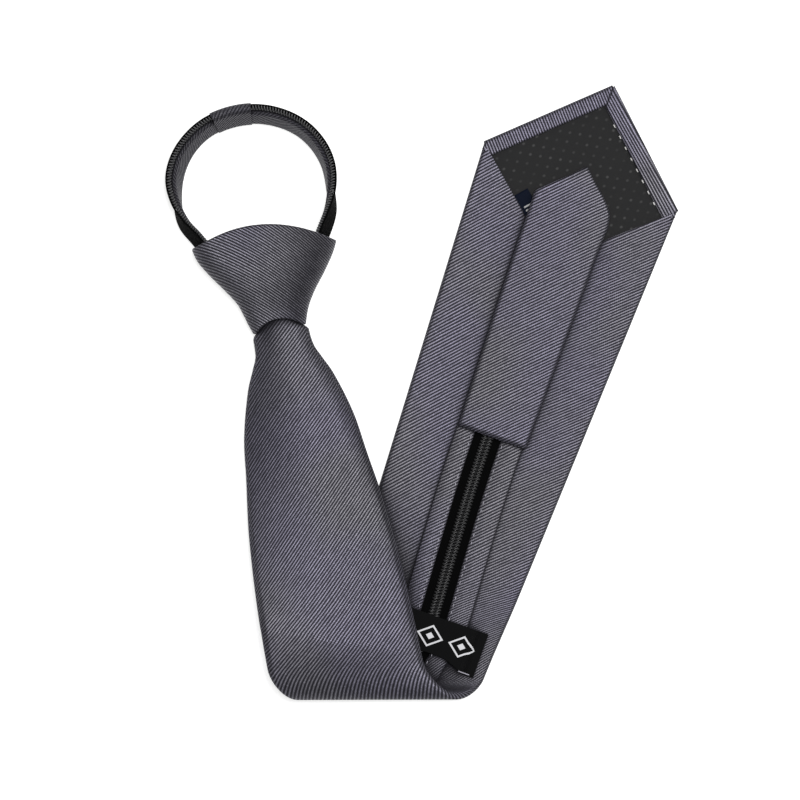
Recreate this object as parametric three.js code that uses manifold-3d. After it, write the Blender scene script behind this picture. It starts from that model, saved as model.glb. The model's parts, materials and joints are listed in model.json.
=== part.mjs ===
// A ready-made zipper necktie, laid flat on its front with the wide blade folded under once.
// Millimetres. X runs to the right, Y from the fold towards the neck loop, Z up from the table.
// The necktie hangs from its knot, comes down the first leg, turns under in a soft fold and
// lies back up on the table as the second leg, whose back faces up.
import * as THREE from 'three';
import Module from 'manifold-3d';
import { mergeVertices } from 'three/addons/utils/BufferGeometryUtils.js';

const wasm = await Module();
wasm.setup();

const degree = Math.PI / 180;
const clearance = 0.3;

// Blade
const tipWidth = 80.8;
const pointHeight = 38;
const bladeThickness = 3.2;
const secondLegLength = 218.6;
const firstLegRun = 145.8;
const firstHeading = 11.1 * degree;
const secondHeading = 19.7 * degree;

// Fold
const curlLeft = 22;
const curlRight = 14;
const curlCrest = 1.3;
const curlBelly = 0.8;
const curlShoulder = 0.6;
const curlLevelFrom = 0.8;
const foldDrift = 13.1;
const driftStart = -18;
const driftLength = 30;
const sectionTurnLength = 45;
const foldCorner = 15;
const slackFade = 60;
const foldCentreX = -17.8;
const foldY = -117.9;

// Distances between the drawn sections: in the fold, on the first leg and on the flat leg
const foldReach = 30;
const foldMiddle = -6;
const flatFrom = 60;
const foldStep = 2;
const legStep = 5;
const flatStep = 16;

// Half the distance over which the way that the cloth faces is read
const facingReach = 0.5;

// Open tip
const hemWidth = 6.2;
const pocketFloor = 1;
const liningThickness = 0.9;
const pocketDepth = 34.9;
const careLabelLength = 12;
const careLabelWidth = 6;
const careLabelThickness = 0.7;
const careLabelReach = 30;
const pointTipShare = 0.03;
const tongueShoulder = 0.01;
const pointTipRoll = 0.6;

// Tail
const tailWidth = 30.4;
const tailEndWidth = 28.4;
const tailThickness = 2.8;
const tailPoint = 14.3;
const tailPointShift = 2.1;
const tailTipShare = 0.12;
const tailTipAt = 10;
const tailEndAt = 108.5;
const tailTipShift = -0.4;
const tailEndShift = 1.4;

// Zip strip on the back
const stripLeftMargin = 8.2;
const stripRightMargin = 9.7;
const stripThickness = 1.4;
const zipTapeWidth = 10.6;
const zipTapeThickness = 1;
const zipCoilWidth = 4.2;
const zipCoilHeight = 1;
const stripDrift = 5;
const stripReturnStart = 10;
const stripReturnLength = 26;
const stripKnotWidth = 0.46;
const stripNarrowShare = 0.35;
const stripNarrowHold = 0.08;
const stripGap = 1.2;

// Keeper label
const keeperLength = 18;
const keeperWidth = 42.4;
const keeperThickness = 1;
const keeperFromFold = 35.6;
const keeperAt = secondLegLength - keeperFromFold;
const keeperRightEdge = 26.4;
const keeperSewn = 3;

// Knot
const knotLength = 33.2;
const mouthHalfWidth = 28.6;
const knotWall = 1.6;
const knotHeadroom = 3.2;
const mouthArch = 7.3;
const mouthSlant = 3.6;
const exitArch = 3.9;
const tongueLength = 4.6;
const tongueWidth = 15;
const coreStart = 5.4;
const coreEnd = 26;
const stubWidth = 3.6;
const stubHeight = 3;
const stubLength = 17;
const stubTurn = 38 * degree;
const stubPlace = new THREE.Vector3(-12.2, 31, 7);
const slotPast = 3;
const rightSlotTurn = 30;
const leftSlotTurn = 40;

// Shape of the knot's section: where its widest height lies, and how round its sides, its
// front and its back are, as powers of a circle's
const knotBelt = 0.42;
const sideRound = 0.85;
const frontRound = 0.8;
const backRound = 0.38;
const archRound = 0.5;

// Neck loop
const loopHalfWidth = 31;
const bandHeight = 12;
const bandThickness = 1.6;
const neckTapeThickness = 1;
const neckTapeWidth = 7.3;
const neckCoilRadius = 1.1;
const bandLift = 2.7;
const bandRise = 2.9;
const sleeveLength = 15;
const sleeveWall = 1;
const loopStep = 4.5;
const loopFacingReach = 0.5;
const pieceGap = 0.5;
const coverDrop = 0.6;

// The strap stands inside the knot's mouth, which is made high enough for it.
const mouthHeight = bandLift + bandRise + bandHeight + 2 * knotWall + knotHeadroom;

// Width of the first leg, from the knot to the fold, as shares of the leg and of the tip.
const firstLegWidths = [
  { leg: 0, width: 0.278 },
  { leg: 0.056, width: 0.296 },
  { leg: 0.087, width: 0.345 },
  { leg: 0.138, width: 0.431 },
  { leg: 0.246, width: 0.547 },
  { leg: 0.349, width: 0.601 },
  { leg: 0.5, width: 0.677 },
  { leg: 0.68, width: 0.724 },
  { leg: 1, width: 0.746 },
];

// Height of the first leg's front over the table past the crest of the fold, as shares of the
// first leg, counted from the fold, and of the fold's left height.
const firstLegHeights = [
  { leg: 0.3, left: 0.78, middle: 0.71, right: 0.6 },
  { leg: 0.4, left: 0.61, middle: 0.61, right: 0.53 },
  { leg: 0.53, left: 0.39, middle: 0.47, right: 0.44 },
  { leg: 0.66, left: 0.25, middle: 0.39, right: 0.31 },
  { leg: 0.8, left: 0.22, middle: 0.37, right: 0.23 },
  { leg: 0.96, left: 0.28, middle: 0.4, right: 0.28 },
  { leg: 1.08, left: 0.33, middle: 0.42, right: 0.33 },
];

// Sections of the knot up its axis: up as a share of its length, shift to the right and half
// width as shares of the mouth's half width, and height as a share of the mouth's height.
const knotSections = [
  { up: 0, shift: 0, half: 0.367, height: 0.62 },
  { up: 0.118, shift: 0, half: 0.413, height: 0.65 },
  { up: 0.235, shift: 0.012, half: 0.462, height: 0.7 },
  { up: 0.382, shift: 0.04, half: 0.545, height: 0.78 },
  { up: 0.571, shift: 0.06, half: 0.7, height: 0.88 },
  { up: 0.797, shift: 0.062, half: 0.88, height: 0.96 },
  { up: 1, shift: 0.048, half: 0.99, height: 1 },
  { up: 1.35, shift: 0.03, half: 1.04, height: 1.02 },
];

// The neck loop round its centre: turn in degrees from the right, radius as a share of the
// loop's half width, outward lean in degrees, and how far it has risen towards the knot.
const loopTurns = [
  { turn: -50.7, radius: 1.187, lean: -20, rise: 1 },
  { turn: -34, radius: 1.092, lean: -25, rise: 0.8 },
  { turn: -21, radius: 1.05, lean: -19, rise: 0.4 },
  { turn: -6, radius: 1.003, lean: 3, rise: 0.1 },
  { turn: 16, radius: 0.98, lean: 15, rise: 0 },
  { turn: 40, radius: 0.937, lean: 20, rise: 0 },
  { turn: 74, radius: 0.873, lean: 24, rise: 0 },
  { turn: 106, radius: 0.863, lean: 24, rise: 0 },
  { turn: 138, radius: 0.911, lean: 24, rise: 0 },
  { turn: 175, radius: 0.981, lean: 22, rise: 0 },
  { turn: 196, radius: 0.992, lean: 4, rise: 0.2 },
  { turn: 212, radius: 1.005, lean: -19, rise: 0.6 },
  { turn: 226.5, radius: 1, lean: -25, rise: 0.9 },
  { turn: 254, radius: 1.1, lean: -20, rise: 1 },
];

// A smooth value of one column of a table at a place along its first column.
function smooth(table, key, column, at) {
  const last = table.length - 1;
  const place = Math.min(Math.max(at, table[0][key]), table[last][key]);
  let row = 0;
  while (row < last - 1 && place > table[row + 1][key]) row += 1;
  const slope = (left, right) => {
    const from = Math.max(left, 0);
    const to = Math.min(right, last);
    return (table[to][column] - table[from][column]) / (table[to][key] - table[from][key]);
  };
  const span = table[row + 1][key] - table[row][key];
  const t = (place - table[row][key]) / span;
  const startSlope = slope(row - 1, row + 1) * span;
  const endSlope = slope(row, row + 2) * span;
  const start = table[row][column];
  const end = table[row + 1][column];
  const bend = 3 * (end - start) - 2 * startSlope - endSlope;
  const twist = 2 * (start - end) + startSlope + endSlope;
  return start + t * (startSlope + t * (bend + t * twist));
}

function smoothStep(t) {
  const held = Math.min(Math.max(t, 0), 1);
  return held * held * (3 - 2 * held);
}

function mix(from, to, share) {
  return from + (to - from) * share;
}

// A closed solid from rings of points. Capped rings get a fan at each end; without caps the
// last ring joins the first. The faces are turned to point outwards.
function solidFromRings(rings, capped) {
  const size = rings[0].length;
  const positions = rings.flat().flatMap((point) => [point.x, point.y, point.z]);
  const triangles = [];
  const joins = capped ? rings.length - 1 : rings.length;
  for (let ring = 0; ring < joins; ring += 1) {
    const next = (ring + 1) % rings.length;
    for (let side = 0; side < size; side += 1) {
      const turn = (side + 1) % size;
      const corners = [ring * size + side, ring * size + turn, next * size + turn, next * size + side];
      triangles.push(corners[0], corners[1], corners[2], corners[0], corners[2], corners[3]);
    }
  }
  if (capped) {
    for (const ring of [0, rings.length - 1]) {
      const middle = new THREE.Vector3();
      rings[ring].forEach((point) => middle.addScaledVector(point, 1 / size));
      const hub = positions.length / 3;
      positions.push(middle.x, middle.y, middle.z);
      for (let side = 0; side < size; side += 1) {
        const turn = (side + 1) % size;
        const edge = [ring * size + turn, ring * size + side];
        triangles.push(hub, ...(ring === 0 ? edge : edge.reverse()));
      }
    }
  }
  if (signedVolume(positions, triangles) < 0) triangles.reverse();
  const geometry = new THREE.BufferGeometry();
  geometry.setAttribute('position', new THREE.Float32BufferAttribute(positions, 3));
  geometry.setIndex(triangles);
  return geometry;
}

function signedVolume(positions, triangles) {
  const corner = (index) => new THREE.Vector3().fromArray(positions, index * 3);
  let volume = 0;
  for (let face = 0; face < triangles.length; face += 3) {
    const [a, b, c] = triangles.slice(face, face + 3).map(corner);
    volume += a.dot(b.cross(c)) / 6;
  }
  return volume;
}

function toManifold(geometry) {
  const bare = geometry.clone();
  bare.deleteAttribute('normal');
  bare.deleteAttribute('uv');
  const merged = mergeVertices(bare, 1e-5);
  return new wasm.Manifold(new wasm.Mesh({
    numProp: 3,
    vertProperties: new Float32Array(merged.attributes.position.array),
    triVerts: new Uint32Array(merged.index.array),
  }));
}

function fromManifold(manifold) {
  const mesh = manifold.getMesh();
  const geometry = new THREE.BufferGeometry();
  geometry.setAttribute('position', new THREE.BufferAttribute(mesh.vertProperties, 3));
  geometry.setIndex(new THREE.BufferAttribute(mesh.triVerts, 1));
  return geometry;
}

// The bend map. The blade is drawn unfolded on a plane: x runs along the fold's crease, and q
// along the fall, counted from the fold, negative on the first leg. The map wraps that plane
// round the curl.
function centreX(q) {
  const t = (q - driftStart) / driftLength;
  const held = Math.min(Math.max(t, 0), 1);
  const ramp = driftLength * (held ** 3 - held ** 4 / 2) + Math.max(t - 1, 0) * driftLength;
  const bend = Math.tan(secondHeading) - Math.tan(firstHeading);
  return foldCentreX + Math.tan(firstHeading) * q + bend * ramp + foldDrift * smoothStep(t);
}

// Turn of the cross sections in the unfolded plane: square to each leg, level at the fold.
function sectionTurn(q) {
  const settled = smoothStep((Math.abs(q) - foldCorner) / sectionTurnLength);
  return (q < 0 ? firstHeading : secondHeading) * settled;
}

const foldWidth = tipWidth * firstLegWidths[firstLegWidths.length - 1].width;
const middleCurl = (curlLeft + curlRight) / 2;
const curlSlack = Math.PI / 2 - 1;
const cornerLineQ = secondLegLength * Math.cos(secondHeading) + curlSlack * middleCurl / 2;

// Half the blade's width, square to its run, at a station of the unfolded plane.
function halfWidth(q) {
  if (q < 0) return smooth(firstLegWidths, 'leg', 'width', 1 + q / firstLegLength) * tipWidth / 2;
  if (q < cornerLineQ) return mix(foldWidth, tipWidth, q / cornerLineQ) / 2;
  const past = (q - cornerLineQ) / Math.cos(secondHeading);
  return tipWidth / 2 * Math.max(1 - past / pointHeight, pointTipShare);
}

// Half the width along a section that is turned away from square.
function sectionHalf(q) {
  const heading = mix(firstHeading, secondHeading, smoothStep((q - driftStart) / driftLength));
  return halfWidth(q) / Math.cos(heading - sectionTurn(q));
}

function curlHeight(v) {
  return mix(curlLeft, curlRight, (v + 1) / 2);
}

// The upper side of the fold and the first leg, at one share across, as points spaced evenly
// along the cloth up to the knot. Each holds how far it lies from the fold and its height.
const legSteps = 300;
const shareSteps = 40;

function upperProfile(v) {
  const height = curlHeight(v);
  const radius = height / 2;
  const crest = curlCrest * height;
  const belly = curlBelly * (height - radius);
  const curl = new THREE.CubicBezierCurve(
    new THREE.Vector2(0, radius),
    new THREE.Vector2(0, radius + belly),
    new THREE.Vector2(crest * (1 - curlShoulder), height),
    new THREE.Vector2(crest, height),
  );
  const across = (row) => (
    row.left * v * (v - 1) / 2 + row.middle * (1 - v * v) + row.right * v * (v + 1) / 2
  ) * curlLeft;
  const rows = [
    { far: crest * curlLevelFrom, high: height },
    { far: crest, high: height },
    ...firstLegHeights.map((row) => ({ far: row.leg * firstLegRun, high: across(row) })),
  ];
  const route = new THREE.CurvePath();
  route.add(curl);
  const steps = 100;
  const spot = (step) => {
    const far = mix(crest, firstLegRun, step / steps);
    return new THREE.Vector2(far, smooth(rows, 'far', 'high', far));
  };
  for (let step = 0; step < steps; step += 1) {
    route.add(new THREE.LineCurve(spot(step), spot(step + 1)));
  }
  return { points: route.getSpacedPoints(legSteps), length: route.getLength() };
}

const upperProfiles = Array.from(
  { length: shareSteps + 1 },
  (unused, step) => upperProfile(mix(-1, 1, step / shareSteps)),
);

const firstLegLength = upperProfiles[shareSteps / 2].length;

function upperPoint(v, length) {
  const place = (v + 1) / 2 * shareSteps;
  const column = Math.min(Math.max(Math.floor(place), 0), shareSteps - 1);
  const along = length / firstLegLength * legSteps;
  const read = (profile) => {
    const row = Math.min(Math.floor(along), legSteps - 1);
    return profile.points[row].clone().lerp(profile.points[row + 1], along - row);
  };
  return read(upperProfiles[column]).lerp(read(upperProfiles[column + 1]), place - column);
}

// The front of the blade over a point of the unfolded plane.
function front(x, q) {
  const v = Math.min(Math.max((x - centreX(q)) / sectionHalf(q), -1), 1);
  const radius = curlHeight(v) / 2;
  const slack = curlSlack * (radius - middleCurl / 2);
  const cloth = q + slack * (1 - smoothStep(-q / slackFade));
  if (cloth < 0) {
    const upper = upperPoint(v, -cloth);
    return new THREE.Vector3(x, foldY + upper.x, upper.y);
  }
  const turn = cloth / radius;
  if (turn < Math.PI / 2) {
    const back = radius * (1 - Math.cos(turn));
    return new THREE.Vector3(x, foldY + back, radius * (1 - Math.sin(turn)));
  }
  return new THREE.Vector3(x, foldY + radius + cloth - radius * Math.PI / 2, 0);
}

// A point at a depth behind the front of the blade.
function behind(x, q, depth) {
  const acrossWay = front(x + facingReach, q).sub(front(x - facingReach, q));
  const alongWay = front(x, q + facingReach).sub(front(x, q - facingReach));
  const inward = acrossWay.cross(alongWay).normalize();
  return front(x, q).addScaledVector(inward, depth);
}

function onSection(q, u, depth) {
  const turn = sectionTurn(q);
  return behind(centreX(q) + u * Math.cos(turn), q - u * Math.sin(turn), depth);
}

// Stations along the unfolded plane: close together in the fold, wide apart on the legs.
function stations(from, to) {
  const list = [];
  let q = from;
  while (q < to - 1) {
    list.push(q);
    const near = Math.abs(q - foldMiddle) < foldReach;
    q += near ? foldStep : (q > flatFrom ? flatStep : legStep);
  }
  list.push(to);
  return list;
}

// A padded section with rolled edges, from its half width and thickness.
function paddedSection(half, thickness, steps) {
  const roll = thickness / 2;
  const flat = half - roll;
  const section = [];
  for (let step = 0; step <= steps; step += 1) section.push([mix(-flat, flat, step / steps), 0]);
  for (const angle of [45, 90, 135]) {
    section.push([flat + roll * Math.sin(angle * degree), roll - roll * Math.cos(angle * degree)]);
  }
  for (let step = steps; step >= 0; step -= 1) section.push([mix(-flat, flat, step / steps), thickness]);
  for (const angle of [135, 90, 45]) {
    section.push([-flat - roll * Math.sin(angle * degree), roll - roll * Math.cos(angle * degree)]);
  }
  return section;
}

// A point of the second leg's straight part: u across its axis, t down it from the corner line.
const cornerCentre = new THREE.Vector2(
  centreX(cornerLineQ),
  foldY + cornerLineQ - curlSlack * middleCurl / 2,
);

function onSecondLeg(u, t) {
  return new THREE.Vector2(
    cornerCentre.x + u * Math.cos(secondHeading) - t * Math.sin(secondHeading),
    cornerCentre.y - u * Math.sin(secondHeading) - t * Math.cos(secondHeading),
  );
}

// A flat plate on the second leg, from corners given as u and t.
function plate(corners, bottom, thickness) {
  const shape = new THREE.Shape(corners.map(([u, t]) => onSecondLeg(u, t)));
  const geometry = new THREE.ExtrudeGeometry(shape, { depth: thickness, bevelEnabled: false });
  geometry.translate(0, 0, bottom);
  return geometry;
}

// The corners of the open tip's pocket, drawn in by a margin.
function pocketCorners(margin) {
  const slope = Math.hypot(tipWidth / 2, pointHeight);
  const hemAlong = (hemWidth + margin) * slope / (tipWidth / 2);
  const top = pointHeight - hemAlong;
  const flapSlope = pocketDepth / (tipWidth / 2);
  const bottom = pocketDepth - margin * Math.hypot(1, flapSlope);
  const hemSlope = pointHeight / (tipWidth / 2);
  const side = (bottom + top) / (flapSlope + hemSlope);
  const sideDown = side * hemSlope - top;
  return [[-side, sideDown], [0, -top], [side, sideDown], [0, bottom]];
}

function makeFrontBlade() {
  const exit = -firstLegLength;
  const places = [
    [exit - tongueLength, tongueWidth / 2],
    [exit - tongueShoulder, tongueWidth / 2],
    ...stations(exit, cornerLineQ).map((q) => [q, sectionHalf(q)]),
  ];
  const pointSteps = 6;
  for (let step = 1; step <= pointSteps; step += 1) {
    const past = pointHeight * step / pointSteps * Math.cos(secondHeading);
    const q = cornerLineQ + past;
    places.push([q, Math.max(halfWidth(q), bladeThickness * pointTipRoll)]);
  }
  const rings = places.map(([q, half]) => paddedSection(half, bladeThickness, 7)
    .map(([u, depth]) => onSection(q, u, depth)));
  const pocket = plate(pocketCorners(0), pocketFloor, bladeThickness * 2);
  return fromManifold(toManifold(solidFromRings(rings, true)).subtract(toManifold(pocket)));
}

function makeTipLining() {
  return plate(pocketCorners(clearance), pocketFloor + clearance, liningThickness);
}

const careLabelBottom = pocketFloor + clearance + liningThickness + clearance;

// The care label lies along the left flap's edge, partly under the tail.
function makeCareLabel() {
  const flapSlope = Math.atan2(pocketDepth, tipWidth / 2);
  const down = [Math.cos(flapSlope), Math.sin(flapSlope)];
  const inward = [Math.sin(flapSlope), -Math.cos(flapSlope)];
  const corner = (along, away) => [
    -tipWidth / 2 + down[0] * along + inward[0] * away,
    down[1] * along + inward[1] * away,
  ];
  const near = clearance * 2;
  const far = near + careLabelWidth;
  const start = careLabelReach - careLabelLength / 2;
  const end = careLabelReach + careLabelLength / 2;
  const corners = [corner(start, near), corner(end, near), corner(end, far), corner(start, far)];
  return plate(corners, careLabelBottom, careLabelThickness);
}

// The tail: a narrow padded blade, pointed like the wide one.
function makeTailBlade() {
  const bottom = bladeThickness + clearance;
  const ring = (t, half, shift) => {
    const share = (t - tailTipAt) / (tailEndAt - tailTipAt);
    const centre = mix(tailTipShift, tailEndShift, share) + shift;
    return paddedSection(half, tailThickness, 3).map(([u, depth]) => {
      const spot = onSecondLeg(centre + u, t);
      return new THREE.Vector3(spot.x, spot.y, bottom + depth);
    });
  };
  const rings = [];
  const pointSteps = 5;
  for (let step = 0; step < pointSteps; step += 1) {
    const share = Math.max(step / pointSteps, tailTipShare);
    const t = tailTipAt - tailPoint * (1 - share);
    rings.push(ring(t, tailWidth / 2 * share, tailPointShift * (1 - share)));
  }
  const bodySteps = 8;
  for (let step = 0; step <= bodySteps; step += 1) {
    const share = step / bodySteps;
    rings.push(ring(mix(tailTipAt, tailEndAt, share), mix(tailWidth, tailEndWidth, share) / 2, 0));
  }
  return solidFromRings(rings, true);
}

// The zip strip: from the tail's end, round the inside of the fold and up into the knot.
const stripStartQ = cornerLineQ - (tailEndAt + clearance) * Math.cos(secondHeading);
const stripEndQ = -firstLegLength - tongueLength;

// The strip drifts to the right down the second leg, and back to the middle at the keeper.
function stripCentre(q) {
  const settled = smoothStep((q - stripReturnStart) / stripReturnLength);
  return stripDrift * smoothStep((stripStartQ - q) / stripStartQ) * settled;
}

function stripScale(q) {
  const reach = (q + firstLegLength + tongueLength) / (firstLegLength * stripNarrowShare);
  const free = smoothStep(reach - stripNarrowHold);
  return mix(stripKnotWidth, 1, free);
}

function stripPiece(left, right, near, far) {
  const rings = stations(stripEndQ, stripStartQ).map((q) => {
    const centre = stripCentre(q);
    const scale = stripScale(q);
    const corners = [[left, near], [right, near], [right, far], [left, far]];
    return corners.map(([u, depth]) => onSection(q, centre + u * scale, depth));
  });
  return solidFromRings(rings, true);
}

const stripNear = bladeThickness + clearance;
const zipEdge = (zipTapeWidth - stripGap) / 2;
const coverEdge = zipEdge + stripGap;
const tapeFar = stripNear + zipTapeThickness;
const coilNear = tapeFar + clearance;
const coilFar = coilNear + zipCoilHeight;

// The keeper: a woven band that arches over the strip and is sewn down at both ends.
function makeKeeperLabel() {
  const low = bladeThickness + clearance;
  const high = coilFar + clearance - low;
  const steps = 14;
  const rings = [];
  for (let step = 0; step <= steps; step += 1) {
    const u = keeperRightEdge - keeperWidth * step / steps;
    const fromEnd = Math.min(step, steps - step) / steps * keeperWidth;
    const lift = high * smoothStep((fromEnd - keeperSewn) / keeperSewn);
    const corners = [
      [keeperAt, low + lift],
      [keeperAt + keeperLength, low + lift],
      [keeperAt + keeperLength, low + lift + keeperThickness],
      [keeperAt, low + lift + keeperThickness],
    ];
    rings.push(corners.map(([t, depth]) => {
      const spot = onSecondLeg(u, t);
      return behind(spot.x, spot.y - foldY + curlSlack * middleCurl / 2, depth);
    }));
  }
  return solidFromRings(rings, true);
}

// One point of the knot's soft D section, in the knot's own frame: x across, y up its axis.
const knotSides = 28;

function knotAcross(angle) {
  return Math.sign(Math.cos(angle)) * Math.abs(Math.cos(angle)) ** sideRound;
}

function knotPoint(angle, up, inset) {
  const read = (column) => smooth(knotSections, 'up', column, up / knotLength);
  const half = read('half') * mouthHalfWidth - inset;
  const height = read('height') * mouthHeight - 2 * inset;
  const belt = height * knotBelt;
  const rise = Math.sin(angle);
  const lift = rise > 0 ? (height - belt) * rise ** frontRound : -belt * Math.abs(rise) ** backRound;
  const x = read('shift') * mouthHalfWidth + knotAcross(angle) * half;
  return new THREE.Vector3(x, up, inset + belt + lift);
}

// A ring of the knot. Its front half follows the arched rims, its back half runs straight.
function knotRing(share, inset) {
  return Array.from({ length: knotSides }, (unused, side) => {
    const angle = side / knotSides * Math.PI * 2;
    const across = knotAcross(angle);
    const frontShare = Math.max(Math.sin(angle), 0) ** archRound;
    const exitRim = clearance + exitArch * (1 - across * across) * frontShare;
    const mouthRim = knotLength + mouthArch * (1 - across * across) * frontShare
      - mouthSlant * across;
    return knotPoint(angle, mix(exitRim, mouthRim, share), inset);
  });
}

function makeKnot() {
  const steps = 9;
  const rings = [];
  for (let step = 0; step <= steps; step += 1) rings.push(knotRing(step / steps, 0));
  for (let step = steps; step >= 0; step -= 1) rings.push(knotRing(step / steps, knotWall));
  return solidFromRings(rings, false);
}

// A straight ring of the knot's inside at one height up its axis, for the core.
function coreRing(up, inset) {
  return Array.from({ length: knotSides }, (unused, side) => (
    knotPoint(side / knotSides * Math.PI * 2, up, inset)
  ));
}

// The neck loop, in its own frame round its centre.
function loopFrame(turn) {
  const spot = (at) => {
    const radius = smooth(loopTurns, 'turn', 'radius', at) * loopHalfWidth;
    return new THREE.Vector3(radius * Math.cos(at * degree), radius * Math.sin(at * degree), 0);
  };
  const along = spot(turn + loopFacingReach).sub(spot(turn - loopFacingReach)).normalize();
  const outward = new THREE.Vector3(along.y, -along.x, 0);
  const lean = smooth(loopTurns, 'turn', 'lean', turn) * degree;
  const up = new THREE.Vector3(0, 0, Math.cos(lean)).addScaledVector(outward, Math.sin(lean));
  const face = outward.clone().multiplyScalar(Math.cos(lean));
  face.z = -Math.sin(lean);
  const centre = spot(turn);
  const rise = smooth(loopTurns, 'turn', 'rise', turn) * bandRise;
  centre.z = bandLift + rise + bandHeight / 2 * Math.cos(lean);
  return { centre, up, face };
}

// A ring of the band at one turn, from corners given as depth out of the band's middle and
// height up the band.
function loopRing(turn, corners) {
  const frame = loopFrame(turn);
  return corners.map(([out, high]) => frame.centre.clone()
    .addScaledVector(frame.face, out)
    .addScaledVector(frame.up, high - bandHeight / 2));
}

function loopPiece(from, to, corners) {
  const steps = Math.ceil(Math.abs(to - from) / loopStep);
  const rings = [];
  for (let step = 0; step <= steps; step += 1) {
    rings.push(loopRing(mix(from, to, step / steps), corners));
  }
  return solidFromRings(rings, true);
}

function block(near, far, low, high) {
  return [[near, low], [far, low], [far, high], [near, high]];
}

function round(out, high, radius) {
  return Array.from({ length: 8 }, (unused, side) => [
    out + radius * Math.cos(side * Math.PI / 4),
    high + radius * Math.sin(side * Math.PI / 4),
  ]);
}

const coverNear = -bandThickness;
const tapeNear = pieceGap;
const tapeOut = tapeNear + neckTapeThickness;
const coilHigh = bandHeight - neckCoilRadius;
const tapeHigh = coilHigh - neckCoilRadius - pieceGap;
const coverHigh = tapeHigh - coverDrop;
const coilOut = tapeNear + neckTapeThickness / 2;

const coverCorners = block(coverNear, 0, 0, coverHigh);
const tapeCorners = block(tapeNear, tapeOut, tapeHigh - neckTapeWidth, tapeHigh);
const coilCorners = round(coilOut, coilHigh, neckCoilRadius);

// The room that the whole band takes, with a margin all round.
function bandRoom(margin) {
  const far = Math.max(tapeOut, coilOut + neckCoilRadius) + margin;
  return block(coverNear - margin, far, -margin, bandHeight + margin);
}

const rightEnd = loopTurns[0].turn;
const leftEnd = loopTurns[loopTurns.length - 1].turn;
const joinTurn = 107;
const joinGap = 0.8;
const joinRadius = smooth(loopTurns, 'turn', 'radius', joinTurn) * loopHalfWidth;
const sleeveHalfTurn = sleeveLength / joinRadius / degree / 2;

function makeLoopSleeve() {
  const rings = [];
  const from = joinTurn - sleeveHalfTurn;
  const steps = 6;
  const turns = Array.from({ length: steps + 1 }, (unused, step) => (
    from + sleeveHalfTurn * 2 * step / steps
  ));
  turns.forEach((turn) => rings.push(loopRing(turn, bandRoom(clearance + sleeveWall))));
  turns.reverse().forEach((turn) => rings.push(loopRing(turn, bandRoom(clearance))));
  return solidFromRings(rings, false);
}

const knotBase = front(centreX(-firstLegLength), -firstLegLength).setZ(0);
const loopCentre = new THREE.Vector3(-58.1, 85.7, 0);

// The core fills the knot between the blade's end and the strap, which sits in two slots cut
// in it. A thin stub of it shows in the mouth beside the left strap.
function makeKnotCore() {
  const inset = knotWall + clearance;
  const rings = [];
  const steps = 5;
  for (let step = 0; step <= steps; step += 1) {
    rings.push(coreRing(mix(coreStart, coreEnd, step / steps), inset));
  }
  const toKnot = new THREE.Matrix4().makeRotationZ(-firstHeading).multiply(
    new THREE.Matrix4().makeTranslation(loopCentre.clone().sub(knotBase)),
  );
  const slot = (from, to) => {
    const geometry = loopPiece(from, to, bandRoom(clearance));
    geometry.applyMatrix4(toKnot);
    return toManifold(geometry);
  };
  const stub = new THREE.BoxGeometry(stubWidth, stubLength, stubHeight);
  stub.rotateZ(stubTurn);
  stub.translate(...stubPlace.toArray());
  let core = toManifold(solidFromRings(rings, true)).add(toManifold(stub));
  core = core.subtract(slot(rightEnd - slotPast, rightEnd + rightSlotTurn));
  core = core.subtract(slot(leftEnd - leftSlotTurn, leftEnd + slotPast));
  return fromManifold(core);
}

const greyCloth = { color: 0x504e58, roughness: 0.62, metalness: 0 };
const blackTape = { color: 0x121214, roughness: 0.8, metalness: 0 };
const blackPlastic = { color: 0x0c0c0d, roughness: 0.4, metalness: 0 };
const charcoalLining = { color: 0x232326, roughness: 0.75, metalness: 0 };
const navyWoven = { color: 0x1a2238, roughness: 0.7, metalness: 0 };

function named(name, geometry, finish) {
  const mesh = new THREE.Mesh(geometry, new THREE.MeshStandardMaterial(finish));
  mesh.name = name;
  return mesh;
}

const blade = new THREE.Group();
blade.add(
  named('front_blade', makeFrontBlade(), greyCloth),
  named('tip_lining', makeTipLining(), charcoalLining),
  named('care_label', makeCareLabel(), navyWoven),
  named('tail_blade', makeTailBlade(), greyCloth),
  named('zip_tape', stripPiece(-zipEdge, zipEdge, stripNear, tapeFar), blackTape),
  named('zip_coil', stripPiece(-zipCoilWidth / 2, zipCoilWidth / 2, coilNear, coilFar), blackPlastic),
  named('strip_cover_left', stripPiece(
    -zipEdge - stripLeftMargin, -coverEdge, stripNear, stripNear + stripThickness,
  ), greyCloth),
  named('strip_cover_right', stripPiece(
    coverEdge, zipEdge + stripRightMargin, stripNear, stripNear + stripThickness,
  ), greyCloth),
  named('keeper_label', makeKeeperLabel(), blackTape),
);

const knot = new THREE.Group();
knot.position.copy(knotBase);
knot.rotation.z = firstHeading;
knot.add(
  named('knot', makeKnot(), greyCloth),
  named('knot_core', makeKnotCore(), blackPlastic),
);

const neckLoop = new THREE.Group();
neckLoop.position.copy(loopCentre);
for (const [side, from, to] of [
  ['right', rightEnd, joinTurn - joinGap],
  ['left', joinTurn + joinGap, leftEnd],
]) {
  neckLoop.add(
    named(`neck_cover_${side}`, loopPiece(from, to, coverCorners), greyCloth),
    named(`neck_tape_${side}`, loopPiece(from, to, tapeCorners), blackTape),
    named(`neck_coil_${side}`, loopPiece(from, to, coilCorners), blackPlastic),
  );
}
neckLoop.add(named('loop_sleeve', makeLoopSleeve(), greyCloth));

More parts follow.
